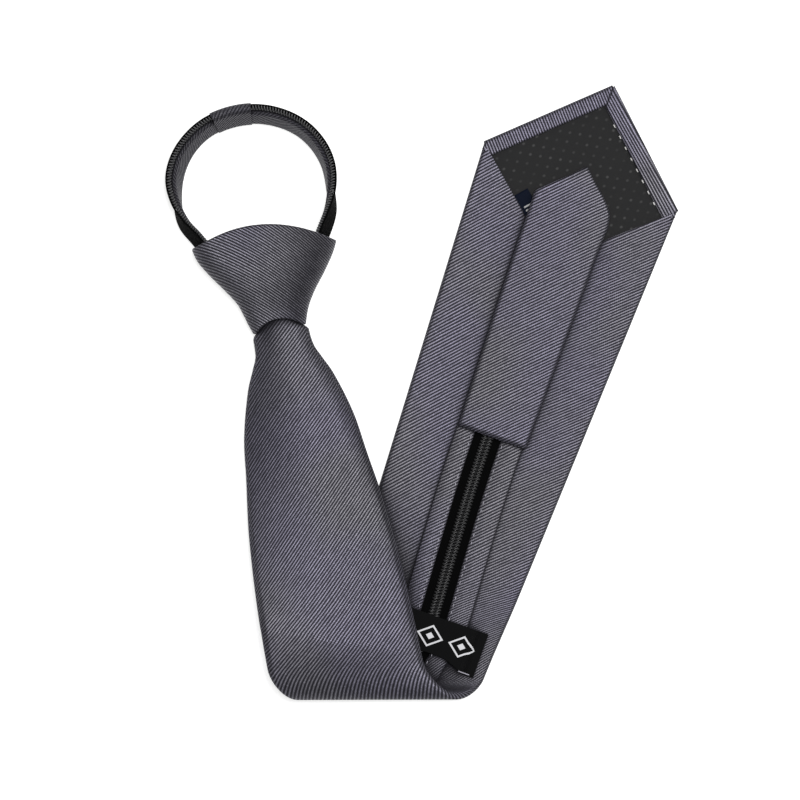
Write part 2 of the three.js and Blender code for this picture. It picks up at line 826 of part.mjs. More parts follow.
// The whole tie, moved so that the middle of its footprint on the table is the origin.
const tie = new THREE.Group();
tie.add(blade, knot, neckLoop);
tie.updateMatrixWorld(true);
const box = new THREE.Box3().setFromObject(tie, true);
const middle = box.getCenter(new THREE.Vector3());
tie.position.set(-middle.x, -middle.y, -box.min.z);

export default tie;
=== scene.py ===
# %% [markdown]
# # A zipper necktie, laid on a white table
#
# This notebook dresses a plain, exact model of a ready-made necktie. The model, called the
# frame, says where each piece is. Here each plain piece is replaced by cloth with rolled edges,
# ribs, seams and stitches, by zip teeth, and by woven labels.
#
# The frame is loaded first. Its box is kept.

# %% Load the frame
import json

import bpy
import numpy as np
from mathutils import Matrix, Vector


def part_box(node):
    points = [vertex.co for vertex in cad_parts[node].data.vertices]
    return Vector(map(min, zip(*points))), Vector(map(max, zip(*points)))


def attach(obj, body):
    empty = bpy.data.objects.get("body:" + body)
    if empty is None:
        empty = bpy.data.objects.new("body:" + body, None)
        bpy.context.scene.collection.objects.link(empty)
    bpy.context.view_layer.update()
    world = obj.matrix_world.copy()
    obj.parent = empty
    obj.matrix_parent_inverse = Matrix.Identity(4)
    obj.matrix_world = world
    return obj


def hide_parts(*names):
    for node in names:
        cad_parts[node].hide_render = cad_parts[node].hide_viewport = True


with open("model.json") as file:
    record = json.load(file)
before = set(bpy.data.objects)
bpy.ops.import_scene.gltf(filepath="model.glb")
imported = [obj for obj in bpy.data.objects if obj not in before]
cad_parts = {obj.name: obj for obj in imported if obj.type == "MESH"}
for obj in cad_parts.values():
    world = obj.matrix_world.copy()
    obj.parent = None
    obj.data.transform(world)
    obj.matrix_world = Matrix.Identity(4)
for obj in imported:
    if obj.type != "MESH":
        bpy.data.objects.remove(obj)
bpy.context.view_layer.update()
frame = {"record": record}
MM = 0.001

# %% [markdown]
# ## The pattern of the blade
#
# A real tie is cut flat, so its form is easiest to describe on a flat plane. On that plane
# `x` runs across the picture and `q` along the fall of the cloth, counted from the fold:
# negative on the first leg, which hangs from the knot, and positive on the second leg. These
# are the same driving sizes and short tables that the frame was built from, in millimetres.

# %% Sizes of the blade and its fold
TIP_WIDTH = 80.8
POINT_HEIGHT = 38.0
BLADE_THICKNESS = 3.2
SECOND_LEG_LENGTH = 218.6
FIRST_LEG_RUN = 145.8
FIRST_HEADING = np.radians(11.1)
SECOND_HEADING = np.radians(19.7)

CURL_LEFT = 22.0
CURL_RIGHT = 14.0
CURL_CREST = 1.3
CURL_BELLY = 0.8
CURL_SHOULDER = 0.6
CURL_SLACK = np.pi / 2 - 1
FOLD_DRIFT = 13.1
DRIFT_START = -18.0
DRIFT_LENGTH = 30.0
SECTION_TURN_LENGTH = 45.0
FOLD_CORNER = 15.0
SLACK_FADE = 60.0
FOLD_CENTRE_X = -17.8
FOLD_Y = -117.9

# Width of the first leg from the knot to the fold, as shares of the leg and of the tip.
FIRST_LEG_WIDTHS = np.array([
    # leg, width
    (0.000, 0.278), (0.056, 0.296), (0.087, 0.345), (0.138, 0.431), (0.246, 0.547),
    (0.349, 0.601), (0.500, 0.677), (0.680, 0.724), (1.000, 0.746),
])

# Height of the first leg's front past the crest of the fold, counted from the fold, as shares
# of the first leg and of the fold's left height.
FIRST_LEG_HEIGHTS = np.array([
    # leg, left, middle, right
    (0.30, 0.78, 0.71, 0.60), (0.40, 0.61, 0.61, 0.53), (0.53, 0.39, 0.47, 0.44),
    (0.66, 0.25, 0.39, 0.31), (0.80, 0.22, 0.37, 0.23), (0.96, 0.28, 0.40, 0.28),
    (1.08, 0.33, 0.42, 0.33),
])


def smooth(places, values, at):
    """Reads a table with a curve that runs smoothly through its rows."""
    at = np.clip(at, places[0], places[-1])
    row = np.clip(np.searchsorted(places, at, side="left") - 1, 0, len(places) - 2)
    before = np.maximum(np.arange(len(places)) - 1, 0)
    after = np.minimum(np.arange(len(places)) + 1, len(places) - 1)
    slope = (values[after] - values[before]) / (places[after] - places[before])
    span = places[row + 1] - places[row]
    t = (at - places[row]) / span
    start, end = values[row], values[row + 1]
    start_slope, end_slope = slope[row] * span, slope[row + 1] * span
    bend = 3 * (end - start) - 2 * start_slope - end_slope
    twist = 2 * (start - end) + start_slope + end_slope
    return start + t * (start_slope + t * (bend + t * twist))


def smooth_step(t):
    held = np.clip(t, 0, 1)
    return held * held * (3 - 2 * held)


def mix(start, end, share):
    return start + (end - start) * share


# %% [markdown]
# ## Wrapping the pattern round the fold
#
# `centre_x` draws the middle line of the blade on the flat plane, `half_width` its width. Then
# `front` lifts the plane into space: the second leg stays on the table, the curl is a round
# roll that is higher on the left, and the first leg comes down from its crest to the knot.
# Cloth hardly stretches, so the roll is measured along the cloth.

# %% The bend map
MIDDLE_CURL = (CURL_LEFT + CURL_RIGHT) / 2
FOLD_WIDTH = TIP_WIDTH * FIRST_LEG_WIDTHS[-1, 1]
CORNER_LINE_Q = SECOND_LEG_LENGTH * np.cos(SECOND_HEADING) + CURL_SLACK * MIDDLE_CURL / 2
LEG_STEPS = 900
SHARE_STEPS = 40


def upper_profile(v):
    """Distance from the fold and height of the first leg, evenly spaced along the cloth."""
    height = mix(CURL_LEFT, CURL_RIGHT, (v + 1) / 2)
    radius = height / 2
    crest = CURL_CREST * height
    belly = CURL_BELLY * (height - radius)
    posts = np.array([
        (0, radius), (0, radius + belly), (crest * (1 - CURL_SHOULDER), height), (crest, height),
    ])
    t = np.linspace(0, 1, 200)[:, None]
    curl = ((1 - t) ** 3 * posts[0] + 3 * (1 - t) ** 2 * t * posts[1]
            + 3 * (1 - t) * t ** 2 * posts[2] + t ** 3 * posts[3])
    leg, left, middle, right = FIRST_LEG_HEIGHTS.T
    across = left * v * (v - 1) / 2 + middle * (1 - v * v) + right * v * (v + 1) / 2
    places = np.concatenate([[crest * 0.8, crest], leg * FIRST_LEG_RUN])
    heights = np.concatenate([[height, height], across * CURL_LEFT])
    far = np.linspace(crest, FIRST_LEG_RUN, 300)[1:]
    path = np.vstack([curl, np.column_stack([far, smooth(places, heights, far)])])
    walked = np.concatenate([[0], np.cumsum(np.linalg.norm(np.diff(path, axis=0), axis=1))])
    even = np.linspace(0, walked[-1], LEG_STEPS + 1)
    return np.column_stack([np.interp(even, walked, path[:, i]) for i in (0, 1)]), walked[-1]


profiles = [upper_profile(v) for v in np.linspace(-1, 1, SHARE_STEPS + 1)]
PROFILE_GRID = np.array([points for points, length in profiles])
FIRST_LEG_LENGTH = profiles[SHARE_STEPS // 2][1]


def centre_x(q):
    t = (q - DRIFT_START) / DRIFT_LENGTH
    held = np.clip(t, 0, 1)
    ramp = DRIFT_LENGTH * (held ** 3 - held ** 4 / 2) + np.maximum(t - 1, 0) * DRIFT_LENGTH
    bend = np.tan(SECOND_HEADING) - np.tan(FIRST_HEADING)
    return FOLD_CENTRE_X + np.tan(FIRST_HEADING) * q + bend * ramp + FOLD_DRIFT * smooth_step(t)


def section_turn(q):
    settled = smooth_step((np.abs(q) - FOLD_CORNER) / SECTION_TURN_LENGTH)
    return np.where(q < 0, FIRST_HEADING, SECOND_HEADING) * settled


def half_width(q):
    leg, width = FIRST_LEG_WIDTHS.T
    first = smooth(leg, width, 1 + q / FIRST_LEG_LENGTH) * TIP_WIDTH / 2
    second = mix(FOLD_WIDTH, TIP_WIDTH, q / CORNER_LINE_Q) / 2
    past = (q - CORNER_LINE_Q) / np.cos(SECOND_HEADING)
    point = TIP_WIDTH / 2 * np.maximum(1 - past / POINT_HEIGHT, 0.0)
    return np.where(q < 0, first, np.where(q < CORNER_LINE_Q, second, point))


def section_half(q):
    heading = mix(FIRST_HEADING, SECOND_HEADING, smooth_step((q - DRIFT_START) / DRIFT_LENGTH))
    return half_width(q) / np.cos(heading - section_turn(q))


def upper_point(v, length):
    place = (v + 1) / 2 * SHARE_STEPS
    column = np.clip(np.floor(place).astype(int), 0, SHARE_STEPS - 1)
    along = length / FIRST_LEG_LENGTH * LEG_STEPS
    row = np.clip(np.floor(along).astype(int), 0, LEG_STEPS - 1)
    side, step = (place - column)[..., None], (along - row)[..., None]
    near = mix(PROFILE_GRID[column, row], PROFILE_GRID[column, row + 1], step)
    far = mix(PROFILE_GRID[column + 1, row], PROFILE_GRID[column + 1, row + 1], step)
    return mix(near, far, side)


def front(x, q):
    """The front of the blade over a point of the flat plane, in the pattern's millimetres."""
    v = np.clip((x - centre_x(q)) / np.maximum(section_half(q), 1.0), -1, 1)
    radius = mix(CURL_LEFT, CURL_RIGHT, (v + 1) / 2) / 2
    slack = CURL_SLACK * (radius - MIDDLE_CURL / 2)
    cloth = q + slack * (1 - smooth_step(-q / SLACK_FADE))
    upper = upper_point(v, np.maximum(-cloth, 0))
    turn = cloth / radius
    curl_y = radius * (1 - np.cos(turn))
    curl_z = radius * (1 - np.sin(turn))
    flat_y = radius + cloth - radius * np.pi / 2
    low = turn < np.pi / 2
    y = np.where(cloth < 0, upper[..., 0], np.where(low, curl_y, flat_y))
    z = np.where(cloth < 0, upper[..., 1], np.where(low, curl_z, 0.0))
    return np.stack([x, FOLD_Y + y, z], axis=-1)


def behind(x, q, depth, reach=0.5):
    """A point at a depth behind the front of the blade."""
    across = front(x + reach, q) - front(x - reach, q)
    along = front(x, q + reach) - front(x, q - reach)
    inward = np.cross(across, along)
    inward /= np.linalg.norm(inward, axis=-1, keepdims=True)
    return front(x, q) + inward * np.asarray(depth)[..., None]


def on_section(q, u, depth):
    """A point u millimetres across the section at q, at a depth behind the front."""
    turn = section_turn(q)
    return behind(centre_x(q) + u * np.cos(turn), q - u * np.sin(turn), depth)


CORNER_CENTRE = np.array([
    centre_x(CORNER_LINE_Q), FOLD_Y + CORNER_LINE_Q - CURL_SLACK * MIDDLE_CURL / 2,
])


def on_second_leg(u, t, height):
    """A point of the second leg: u across its axis, t down it from the corners of the point."""
    u, t, height = np.broadcast_arrays(u, t, height)
    sin, cos = np.sin(SECOND_HEADING), np.cos(SECOND_HEADING)
    return np.stack([
        CORNER_CENTRE[0] + u * cos - t * sin,
        CORNER_CENTRE[1] - u * sin - t * cos,
        np.asarray(height, float),
    ], axis=-1)


def on_spots(spots, height):
    """Points of the second leg from pairs of u and t."""
    return on_second_leg(spots[..., 0], spots[..., 1], height)


# The frame's origin is the middle of its footprint, so the pattern is moved onto it: the
# right corner of the point and the fold are the frame's furthest right and nearest places.
blade_low, blade_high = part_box("front_blade")
right_corner = on_second_leg(TIP_WIDTH / 2, 0.0, 0.0)
SHIFT = np.array([blade_high[0] / MM - right_corner[0], blade_low[1] / MM - FOLD_Y, 0.0])
print("pattern moved by", SHIFT.round(2), "mm; first leg", round(FIRST_LEG_LENGTH, 1), "mm")

# %% [markdown]
# ## Turning grids of points into meshes
#
# Nearly every piece here is a grid: rows along the cloth and columns round or across it. One
# helper makes the faces, and writes the flat cloth position of each corner to a UV map called
# `cloth`, in metres, so that ribs and weaves follow the cut of the cloth and not the world.

# %% Mesh helpers
NODE_NAMES = {part["node"] for part in frame["record"]["subparts"]}


def to_frame(points):
    return (np.asarray(points, float) + SHIFT) * MM


def mesh_object(name, points, faces, cloth=None, smooth_shading=True):
    """A mesh from points in pattern millimetres. cloth holds one UV pair for each corner."""
    mesh = bpy.data.meshes.new(name)
    mesh.from_pydata(to_frame(points).tolist(), [], faces)
    mesh.validate()
    if cloth is not None:
        layer = mesh.uv_layers.new(name="cloth")
        layer.data.foreach_set("uv", (np.asarray(cloth, float) * MM).ravel())
    mesh.shade_smooth() if smooth_shading else mesh.shade_flat()
    piece = bpy.data.objects.new(f"{name}_look" if name in NODE_NAMES else name, mesh)
    bpy.context.scene.collection.objects.link(piece)
    return piece


def grid_faces(rows, columns, ring=False):
    """Corner numbers of a grid's faces, and the matching rows and columns of its UVs."""
    across = columns if ring else columns - 1
    row, column = np.meshgrid(np.arange(rows - 1), np.arange(across), indexing="ij")
    row, column = row.ravel(), column.ravel()
    following = (column + 1) % columns
    faces = np.column_stack([
        row * columns + column, row * columns + following,
        (row + 1) * columns + following, (row + 1) * columns + column,
    ])
    uv_rows = np.column_stack([row, row, row + 1, row + 1])
    uv_columns = np.column_stack([column, column + 1, column + 1, column])
    return faces, uv_rows, uv_columns


def grid_object(name, grid, cloth, ring=False, caps=True, flip=False):
    """A sheet, or with ring a tube, closed by a cap at each end if caps is left on."""
    rows, columns = grid.shape[:2]
    faces, uv_rows, uv_columns = grid_faces(rows, columns, ring)
    if ring and cloth.shape[1] == columns:
        gap = np.linalg.norm(grid[:, 0] - grid[:, -1], axis=-1)
        closing = cloth[:, -1] + gap[:, None] * np.array([1, 0])
        cloth = np.concatenate([cloth, closing[:, None]], axis=1)
    corners = cloth[uv_rows, uv_columns].reshape(-1, 2)
    faces = faces.tolist()
    if ring and caps:
        first = list(range(columns))[::-1]
        last = list(range((rows - 1) * columns, rows * columns))
        faces += [first, last]
        corners = np.vstack([corners, cloth[0, :columns][::-1], cloth[-1, :columns]])
    if flip:
        sizes = [len(face) for face in faces]
        starts = np.concatenate([[0], np.cumsum(sizes)[:-1]])
        order = np.concatenate([np.arange(s, s + n)[::-1] for s, n in zip(starts, sizes)])
        corners = corners[order]
        faces = [face[::-1] for face in faces]
    return mesh_object(name, grid.reshape(-1, 3), faces, corners)


def closed(grid):
    """A ring's grid with its first column again at the end."""
    return np.concatenate([grid, grid[:, :1]], axis=1)


def thicken(piece, thickness, offset=-1.0):
    """Gives a sheet its thickness."""
    modifier = piece.modifiers.new("thickness", "SOLIDIFY")
    modifier.thickness = thickness * MM
    modifier.offset = offset
    modifier.use_even_offset = False
    return piece


def settle(piece, material, slot, *nodes):
    """Gives a piece its material, its body and what it stands for."""
    piece.data.materials.clear()
    piece.data.materials.append(material)
    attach(piece, "root")
    if nodes:
        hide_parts(*nodes)
    print("made", piece.name, len(piece.data.polygons), "faces")


# %% [markdown]
# ## Node trees from short recipes
#
# A procedural material is a small program. These helpers write it line by line, so that each
# finish below reads as arithmetic on the flat cloth position.
#
# Satin ribs send light back mostly where they face it, so cloth that lies level looks bright
# and cloth that rolls away goes dark within a few degrees. Gloss alone doesn't give this under
# a wide lamp, so it is painted into the colour as shade: the helper below darkens the colour
# with the upward part of the surface's normal, raised to a high power, and paints shade into
# seams with the ambient occlusion node, which measures how shut in a spot is.

# %% Material helpers
# Reach and limits of the painted shade in seams, and how steeply painted shade falls as the cloth rolls
# away.
SEAM_REACH = 15.0
SEAM_SAMPLES = 8
SHUT_IN = 0.46
IN_THE_OPEN = 0.98
PAINTED_SHADE_FALL = 17.0
BLACK = (0.0, 0.0, 0.0)


class Number:
    """A number inside a material. Python's own signs join it to others, one node for each sign."""

    def __init__(self, recipe, socket):
        self.recipe, self.socket = recipe, socket

    def __add__(self, other):
        return self.recipe.math("ADD", self, other)

    def __sub__(self, other):
        return self.recipe.math("SUBTRACT", self, other)

    def __mul__(self, other):
        return self.recipe.math("MULTIPLY", self, other)

    def __truediv__(self, other):
        return self.recipe.math("DIVIDE", self, other)

    def __pow__(self, other):
        return self.recipe.math("POWER", self, other)

    def __abs__(self):
        return self.recipe.math("ABSOLUTE", self)


class Recipe:
    """Builds one Principled material from sums on the cloth position."""

    def __init__(self, name, roughness, sheen=0.0, sheen_tint=(1, 1, 1), specular=0.5):
        self.material = bpy.data.materials.new(name)
        self.material.use_nodes = True
        self.tree = self.material.node_tree
        self.shader = self.tree.nodes["Principled BSDF"]
        self.shader.inputs["Roughness"].default_value = roughness
        self.shader.inputs["Specular IOR Level"].default_value = specular
        self.shader.inputs["Sheen Weight"].default_value = sheen
        self.shader.inputs["Sheen Roughness"].default_value = 0.45
        self.shader.inputs["Sheen Tint"].default_value = (*sheen_tint, 1)

    def node(self, kind, **settings):
        node = self.tree.nodes.new(kind)
        for key, value in settings.items():
            setattr(node, key, value)
        return node

    def feed(self, socket, value):
        if isinstance(value, Number):
            value = value.socket
        if isinstance(value, bpy.types.NodeSocket):
            self.tree.links.new(value, socket)
        elif isinstance(value, tuple) and socket.type == "RGBA":
            socket.default_value = (*value, 1)
        else:
            socket.default_value = value

    def math(self, operation, first, second=0.0, third=0.0):
        node = self.node("ShaderNodeMath", operation=operation)
        for socket, value in zip(node.inputs, (first, second, third)):
            self.feed(socket, value)
        return Number(self, node.outputs[0])

    def cloth(self):
        """The flat cloth position in millimetres, as two numbers."""
        place = self.node("ShaderNodeUVMap", uv_map="cloth")
        split = self.node("ShaderNodeSeparateXYZ")
        self.feed(split.inputs[0], place.outputs["UV"])
        return [Number(self, split.outputs[i]) * (1 / MM) for i in (0, 1)]

    def noise(self, u, v, scale, detail=2.0, stretch=1.0):
        """Noise on the cloth, with its grain drawn out along v by stretch."""
        join = self.node("ShaderNodeCombineXYZ")
        self.feed(join.inputs[0], u)
        self.feed(join.inputs[1], v / stretch)
        node = self.node("ShaderNodeTexNoise", noise_dimensions="2D")
        self.feed(node.inputs["Vector"], join.outputs[0])
        node.inputs["Scale"].default_value = scale
        node.inputs["Detail"].default_value = detail
        return Number(self, node.outputs["Fac"])

    def ridge(self, phase, sharp=1.0):
        """0 in the groove and 1 on the crest of a row of ridges, one for each whole phase."""
        wave = self.math("COSINE", phase * (2 * np.pi)) * 0.5 + 0.5
        return wave if sharp == 1.0 else wave ** sharp

    def shade(self, colour, steep, lean, tucked=0.03):
        """Paints shade into a colour where the cloth rolls down its edges and where pieces touch.

        Both are painted shade: satin light falling off on rolled cloth, and shade in the seams.
        Steep is the share of the colour left on upright cloth, tucked the share in a seam.
        Cloth that slopes towards lean, so far along x and along y, stays bright, as if lit from there."""
        facing = self.node("ShaderNodeVectorMath", operation="DOT_PRODUCT")
        self.feed(facing.inputs[0], self.node("ShaderNodeNewGeometry").outputs["Normal"])
        facing.inputs[1].default_value = (*lean, 1.0)
        upward = self.math("MINIMUM", abs(Number(self, facing.outputs["Value"])), 1.0)
        # Painted shade on cloth that tilts away from the lean direction.
        rolled = upward ** PAINTED_SHADE_FALL * (1 - steep) + steep
        # Painted shade in seams and where pieces touch, from ambient occlusion.
        hollow = self.node("ShaderNodeAmbientOcclusion", samples=SEAM_SAMPLES)
        hollow.inputs["Distance"].default_value = SEAM_REACH * MM
        painted_seam_shade = self.spread(hollow.outputs["AO"], SHUT_IN, IN_THE_OPEN, tucked, 1.0)
        return self.blend(rolled * painted_seam_shade, BLACK, colour)

    def blend(self, share, low, high):
        node = self.node("ShaderNodeMix", data_type="RGBA")
        self.feed(node.inputs["Factor"], share)
        self.feed(node.inputs["A"], low)
        self.feed(node.inputs["B"], high)
        return node.outputs["Result"]

    def spread(self, value, low, high, to_low=0.0, to_high=1.0):
        """Moves a value from one range to another, with soft ends."""
        node = self.node("ShaderNodeMapRange", interpolation_type="SMOOTHSTEP")
        limits = {"From Min": low, "From Max": high, "To Min": to_low, "To Max": to_high}
        for key, number in limits.items():
            node.inputs[key].default_value = number
        self.feed(node.inputs["Value"], value)
        return Number(self, node.outputs["Result"])

    def finish(self, colour, height=None, depth=0.1, roughness=None):
        """Joins the colour, and a height in shares of depth millimetres, to the shader."""
        self.feed(self.shader.inputs["Base Color"], colour)
        if roughness is not None:
            self.feed(self.shader.inputs["Roughness"], roughness)
        if height is not None:
            bump = self.node("ShaderNodeBump")
            bump.inputs["Strength"].default_value = 1.0
            bump.inputs["Distance"].default_value = depth * MM
            self.feed(bump.inputs["Height"], height)
            self.feed(self.shader.inputs["Normal"], bump.outputs["Normal"])
        return self.material


def plain(name, colour, **looks):
    """A material of one colour."""
    return Recipe(name, **looks).finish(colour)


# %% [markdown]
# ## Grey repp
#
# The tie's cloth is a fine repp: hard ribs that stand up and catch the light, with a dark
# groove between. The colour paints this as well as the bump: bright crests are painted light and
# near-black grooves painted shade. It is cut on the bias, so on the flat cloth the ribs run at
# 45 degrees, and each rib is a line where `u + v` is constant. An image texture would do, but
# the ribs must keep their true pitch through the fold, so they are computed from the cloth
# position. Beads along each rib are the threads that cross it, and noise breaks them up and
# adds bright flecks. Slow noise moves the crests between a violet and a neutral grey.

# %% Grey repp material
RIB_PITCH = 1.08
BEAD_PITCH = 0.8
# The groove colour is painted shade; the crest colours hold the yarn's violet and neutral greys and
# painted light.
GROOVE = (0.0035, 0.0033, 0.005)
VIOLET_CREST = (0.62, 0.59, 0.77)
NEUTRAL_CREST = (0.61, 0.595, 0.66)


def repp(name, lean, crest_share=1.0, steep=0.27, sharp=1.95):
    recipe = Recipe(name, roughness=0.5, sheen=0.04, sheen_tint=(0.82, 0.8, 1.0), specular=0.4)
    recipe.shader.inputs["Specular Tint"].default_value = (0.86, 0.83, 1.0, 1)
    u, v = recipe.cloth()
    cross = (u + v) * np.sqrt(0.5)
    down = (u - v) * np.sqrt(0.5)
    drift = recipe.noise(cross, down, scale=0.08, detail=1.0, stretch=3.0) * 0.5
    phase = cross / RIB_PITCH + drift
    rib = recipe.ridge(phase, sharp)
    bead = recipe.ridge(recipe.math("FLOOR", phase) * 0.5 + down / BEAD_PITCH)
    slub = recipe.noise(cross, down, scale=0.9, detail=3.0, stretch=6.0)
    grain = recipe.noise(cross, down, scale=2.6, detail=2.0, stretch=1.5)
    cloud = recipe.noise(cross, down, scale=0.018, detail=1.0)
    speck = recipe.noise(cross, down, scale=1.1, detail=1.0, stretch=1.3)
    beaded = bead * recipe.spread(slub, 0.35, 0.65, 0.25, 0.85) + 0.34
    fleck = recipe.spread(speck, 0.54, 0.7, 0.0, 1.2)
    share = rib * (fleck * bead + beaded * (grain * 1.1 + 0.5))
    crest = recipe.blend(recipe.spread(cloud, 0.35, 0.68), NEUTRAL_CREST, VIOLET_CREST)
    # Painted shade: the rib colour darkens on rolled cloth and in seams.
    colour = recipe.shade(recipe.blend(share * crest_share, GROOVE, crest), steep, lean)
    rough = recipe.spread(rib, 0.0, 1.0, 0.75, 0.4)
    return recipe.finish(colour, share * 0.4 + rib, 0.3, rough)


# Lean sets where the painted light comes from: cloth sloping that way stays bright.
grey_repp = repp("grey repp", lean=(0.13, 0.12))
# The knot's copy differs in painted light and shade: its painted light leans the other way and its crests
# are a little darker.
knot_repp = repp("knot repp", lean=(-0.15, -0.12), crest_share=0.85)
# The strap's copy is the same cloth painted darker, with weak ribs and more painted shade, for its
# upright face that stands in shade.
shaded_strap_repp = repp("shaded strap repp", lean=(0.0, 0.0), crest_share=0.2, steep=0.36, sharp=0.7)

# %% [markdown]
# ## The blade's cloth
#
# The wide blade is one cloth folded round an interlining: front, two rolled edges and two
# flaps that meet behind. It could be a solid slab, but then the open tip would have no
# pocket. So each section is drawn as the letter C, from one flap's inner edge round the front
# to the other's. Near the tip the flaps draw back along straight lines and show the lining.

# %% Blade cloth
POCKET_DEPTH = 34.9
TIP_THICKNESS = 2.6
CLOTH = 0.7
SEAM_GAP = 0.4
IN_KNOT = 9.0
CURL_FROM = -45
CURL_TO = 40
TIP_ROWS = 45
KNOT_PINCH = 0.7
FIRST_LEG_CROWN = 4.2
CROWN_LEAN = 0.35
CROWN_AT_KNOT = 0.6
CROWN_FROM = 4
CROWN_OVER = 30
CROWN_FADE = 25
THINNER_OVER = 60


def fall_of(q):
    """Distance along the second leg from the corner line, positive towards the fold."""
    return (CORNER_LINE_Q - q) / np.cos(SECOND_HEADING)


def blade_rows():
    """Places of the sections, closest where the cloth bends and where the flaps draw back."""
    first = np.arange(-FIRST_LEG_LENGTH - IN_KNOT, CURL_FROM, 1.0)
    curl = np.arange(CURL_FROM, CURL_TO, 0.9)
    second = np.arange(CURL_TO, CORNER_LINE_Q - TIP_ROWS, 2.0)
    tip = np.linspace(CORNER_LINE_Q - TIP_ROWS, CORNER_LINE_Q, 40)
    return np.concatenate([first, curl, second, tip])


def c_section(q, half, thick, flap_in):
    """Columns of u, depth and flat cloth position for one C-shaped section at each q."""
    roll = thick / 2
    flat = half - roll
    flap = np.linspace(0, 1, 16)[None, :]
    turn = np.radians(np.linspace(0, 180, 11))[None, 1:-1]
    face = np.linspace(-1, 1, 61)[None, :]
    q, half, roll, flat, flap_in = (a[:, None] for a in (q, half, roll, flat, flap_in))
    flap_u = mix(np.minimum(flap_in, flat), flat, flap)
    columns_u = [-flap_u, -flat - roll * np.sin(turn), flat * face,
                 (flat + roll * np.sin(turn)), flap_u[:, ::-1]]
    columns_depth = [2 * roll + 0 * flap_u, roll + roll * np.cos(turn), 0 * flat * face,
                     roll - roll * np.cos(turn), 2 * roll + 0 * flap_u]
    arc = roll * turn
    wrap = roll * np.pi
    columns_cloth = [
        -flat - wrap - (flat - flap_u), -flat - wrap + arc, flat * face,
        flat + arc, flat + wrap + (flat - flap_u[:, ::-1]),
    ]
    return tuple(np.hstack(columns) for columns in (columns_u, columns_depth, columns_cloth))


def make_blade_cloth():
    q = blade_rows()
    pinch = smooth_step((q + FIRST_LEG_LENGTH + 3) / 5)
    half = section_half(q) * mix(KNOT_PINCH, 1.0, pinch)
    fall = fall_of(q)
    thick = mix(TIP_THICKNESS, BLADE_THICKNESS, smooth_step(fall / THINNER_OVER))
    drawn_back = np.maximum(TIP_WIDTH / 2 * (1 - fall / POCKET_DEPTH), SEAM_GAP)
    flap_in = np.where(q > 0, drawn_back, SEAM_GAP)
    u, depth, cloth_u = c_section(q, half, thick, flap_in)
    rows = np.broadcast_to(q[:, None], u.shape)
    turn = section_turn(rows)
    side = u / half[:, None]
    round_out = np.sqrt(np.maximum(1 - side ** 2, 0)) * (1 + CROWN_LEAN * side) * (depth < 0.01)
    at_knot = mix(1.0, CROWN_AT_KNOT, smooth_step((CROWN_FADE - FIRST_LEG_LENGTH - rows) / CROWN_FADE))
    crown = FIRST_LEG_CROWN * round_out * at_knot * smooth_step(-(rows + CROWN_FROM) / CROWN_OVER)
    grid = on_section(rows, u, depth - crown)
    cloth = np.stack([cloth_u, rows / np.cos(turn)], axis=-1)
    return thicken(grid_object("blade_cloth", grid, cloth, flip=True), CLOTH)


settle(make_blade_cloth(), grey_repp, "grey_repp", "front_blade")

# %% [markdown]
# ## The open tip
#
# Past the corners only the front cloth goes on to the point. Its two slanted edges are hemmed:
# the cloth rolls over and lies 6 mm wide on the lining. The hem on the left crosses the ribs
# and the one on the right runs with them, because the cloth is cut on the bias. Each hem is a
# small grid: `along` its edge and `inward` from it, cut off by the flap at one end and by the
# middle line at the other.

# %% Tip front and hems
HEM_WIDTH_LEFT = 5.7
HEM_WIDTH_RIGHT = 6.4
HEM_THICKNESS = 1.9
HEM_TUCK = 2.0
CORNER_LINE_CLOTH = CORNER_LINE_Q / np.cos(SECOND_HEADING)


def slanted_edge(side):
    """Length, start, direction and inward direction of one slanted edge of the point.

    Side is -1 on the left and 1 on the right."""
    length = np.hypot(TIP_WIDTH / 2, POINT_HEIGHT)
    corner = np.array([side * TIP_WIDTH / 2, 0.0])
    edge = np.array([-side * TIP_WIDTH / 2, -POINT_HEIGHT]) / length
    inward = np.array([-side * POINT_HEIGHT, TIP_WIDTH / 2]) / length
    return length, corner, edge, inward


def make_tip_front():
    fall = np.linspace(0, -POINT_HEIGHT + 1.0, 40)
    share = np.linspace(-1, 1, 61)
    half = TIP_WIDTH / 2 * (1 + fall / POINT_HEIGHT) - HEM_THICKNESS / 2
    u = np.maximum(half, 0.2)[:, None] * share[None, :]
    t = np.broadcast_to(fall[:, None], u.shape)
    grid = on_second_leg(u, t, 0.0)
    cloth = np.stack([u, CORNER_LINE_CLOTH - t], axis=-1)
    return thicken(grid_object("tip_front", grid, cloth, flip=True), CLOTH)


def make_hem(name, side, width):
    """A hem on one slanted edge of the point."""
    length, corner, edge, inward = slanted_edge(side)
    flap_edge = np.array([-side * TIP_WIDTH / 2, POCKET_DEPTH])
    roll = HEM_THICKNESS / 2
    turn = np.radians(np.linspace(0, 180, 9))
    flat = np.linspace(roll, width, 7)[1:]
    away = np.concatenate([roll - roll * np.sin(turn), flat])
    depth = np.concatenate([roll - roll * np.cos(turn), np.full(6, HEM_THICKNESS)])
    wrapped = np.concatenate([roll * turn, roll * np.pi + flat - roll])
    start = away * (flap_edge @ edge) / (flap_edge @ inward) - HEM_TUCK * smooth_step(away / roll - 1)
    end = length - away * POINT_HEIGHT / (TIP_WIDTH / 2)
    along = mix(start[None, :], end[None, :], np.linspace(0, 1, 60)[:, None])
    spots = corner + along[..., None] * edge + away[None, :, None] * inward
    grid = on_spots(spots, depth)
    unfolded = corner + along[..., None] * edge - wrapped[None, :, None] * inward
    cloth = np.stack([unfolded[..., 0], CORNER_LINE_CLOTH - unfolded[..., 1]], axis=-1)
    return thicken(grid_object(name, grid, cloth, flip=side < 0), CLOTH)


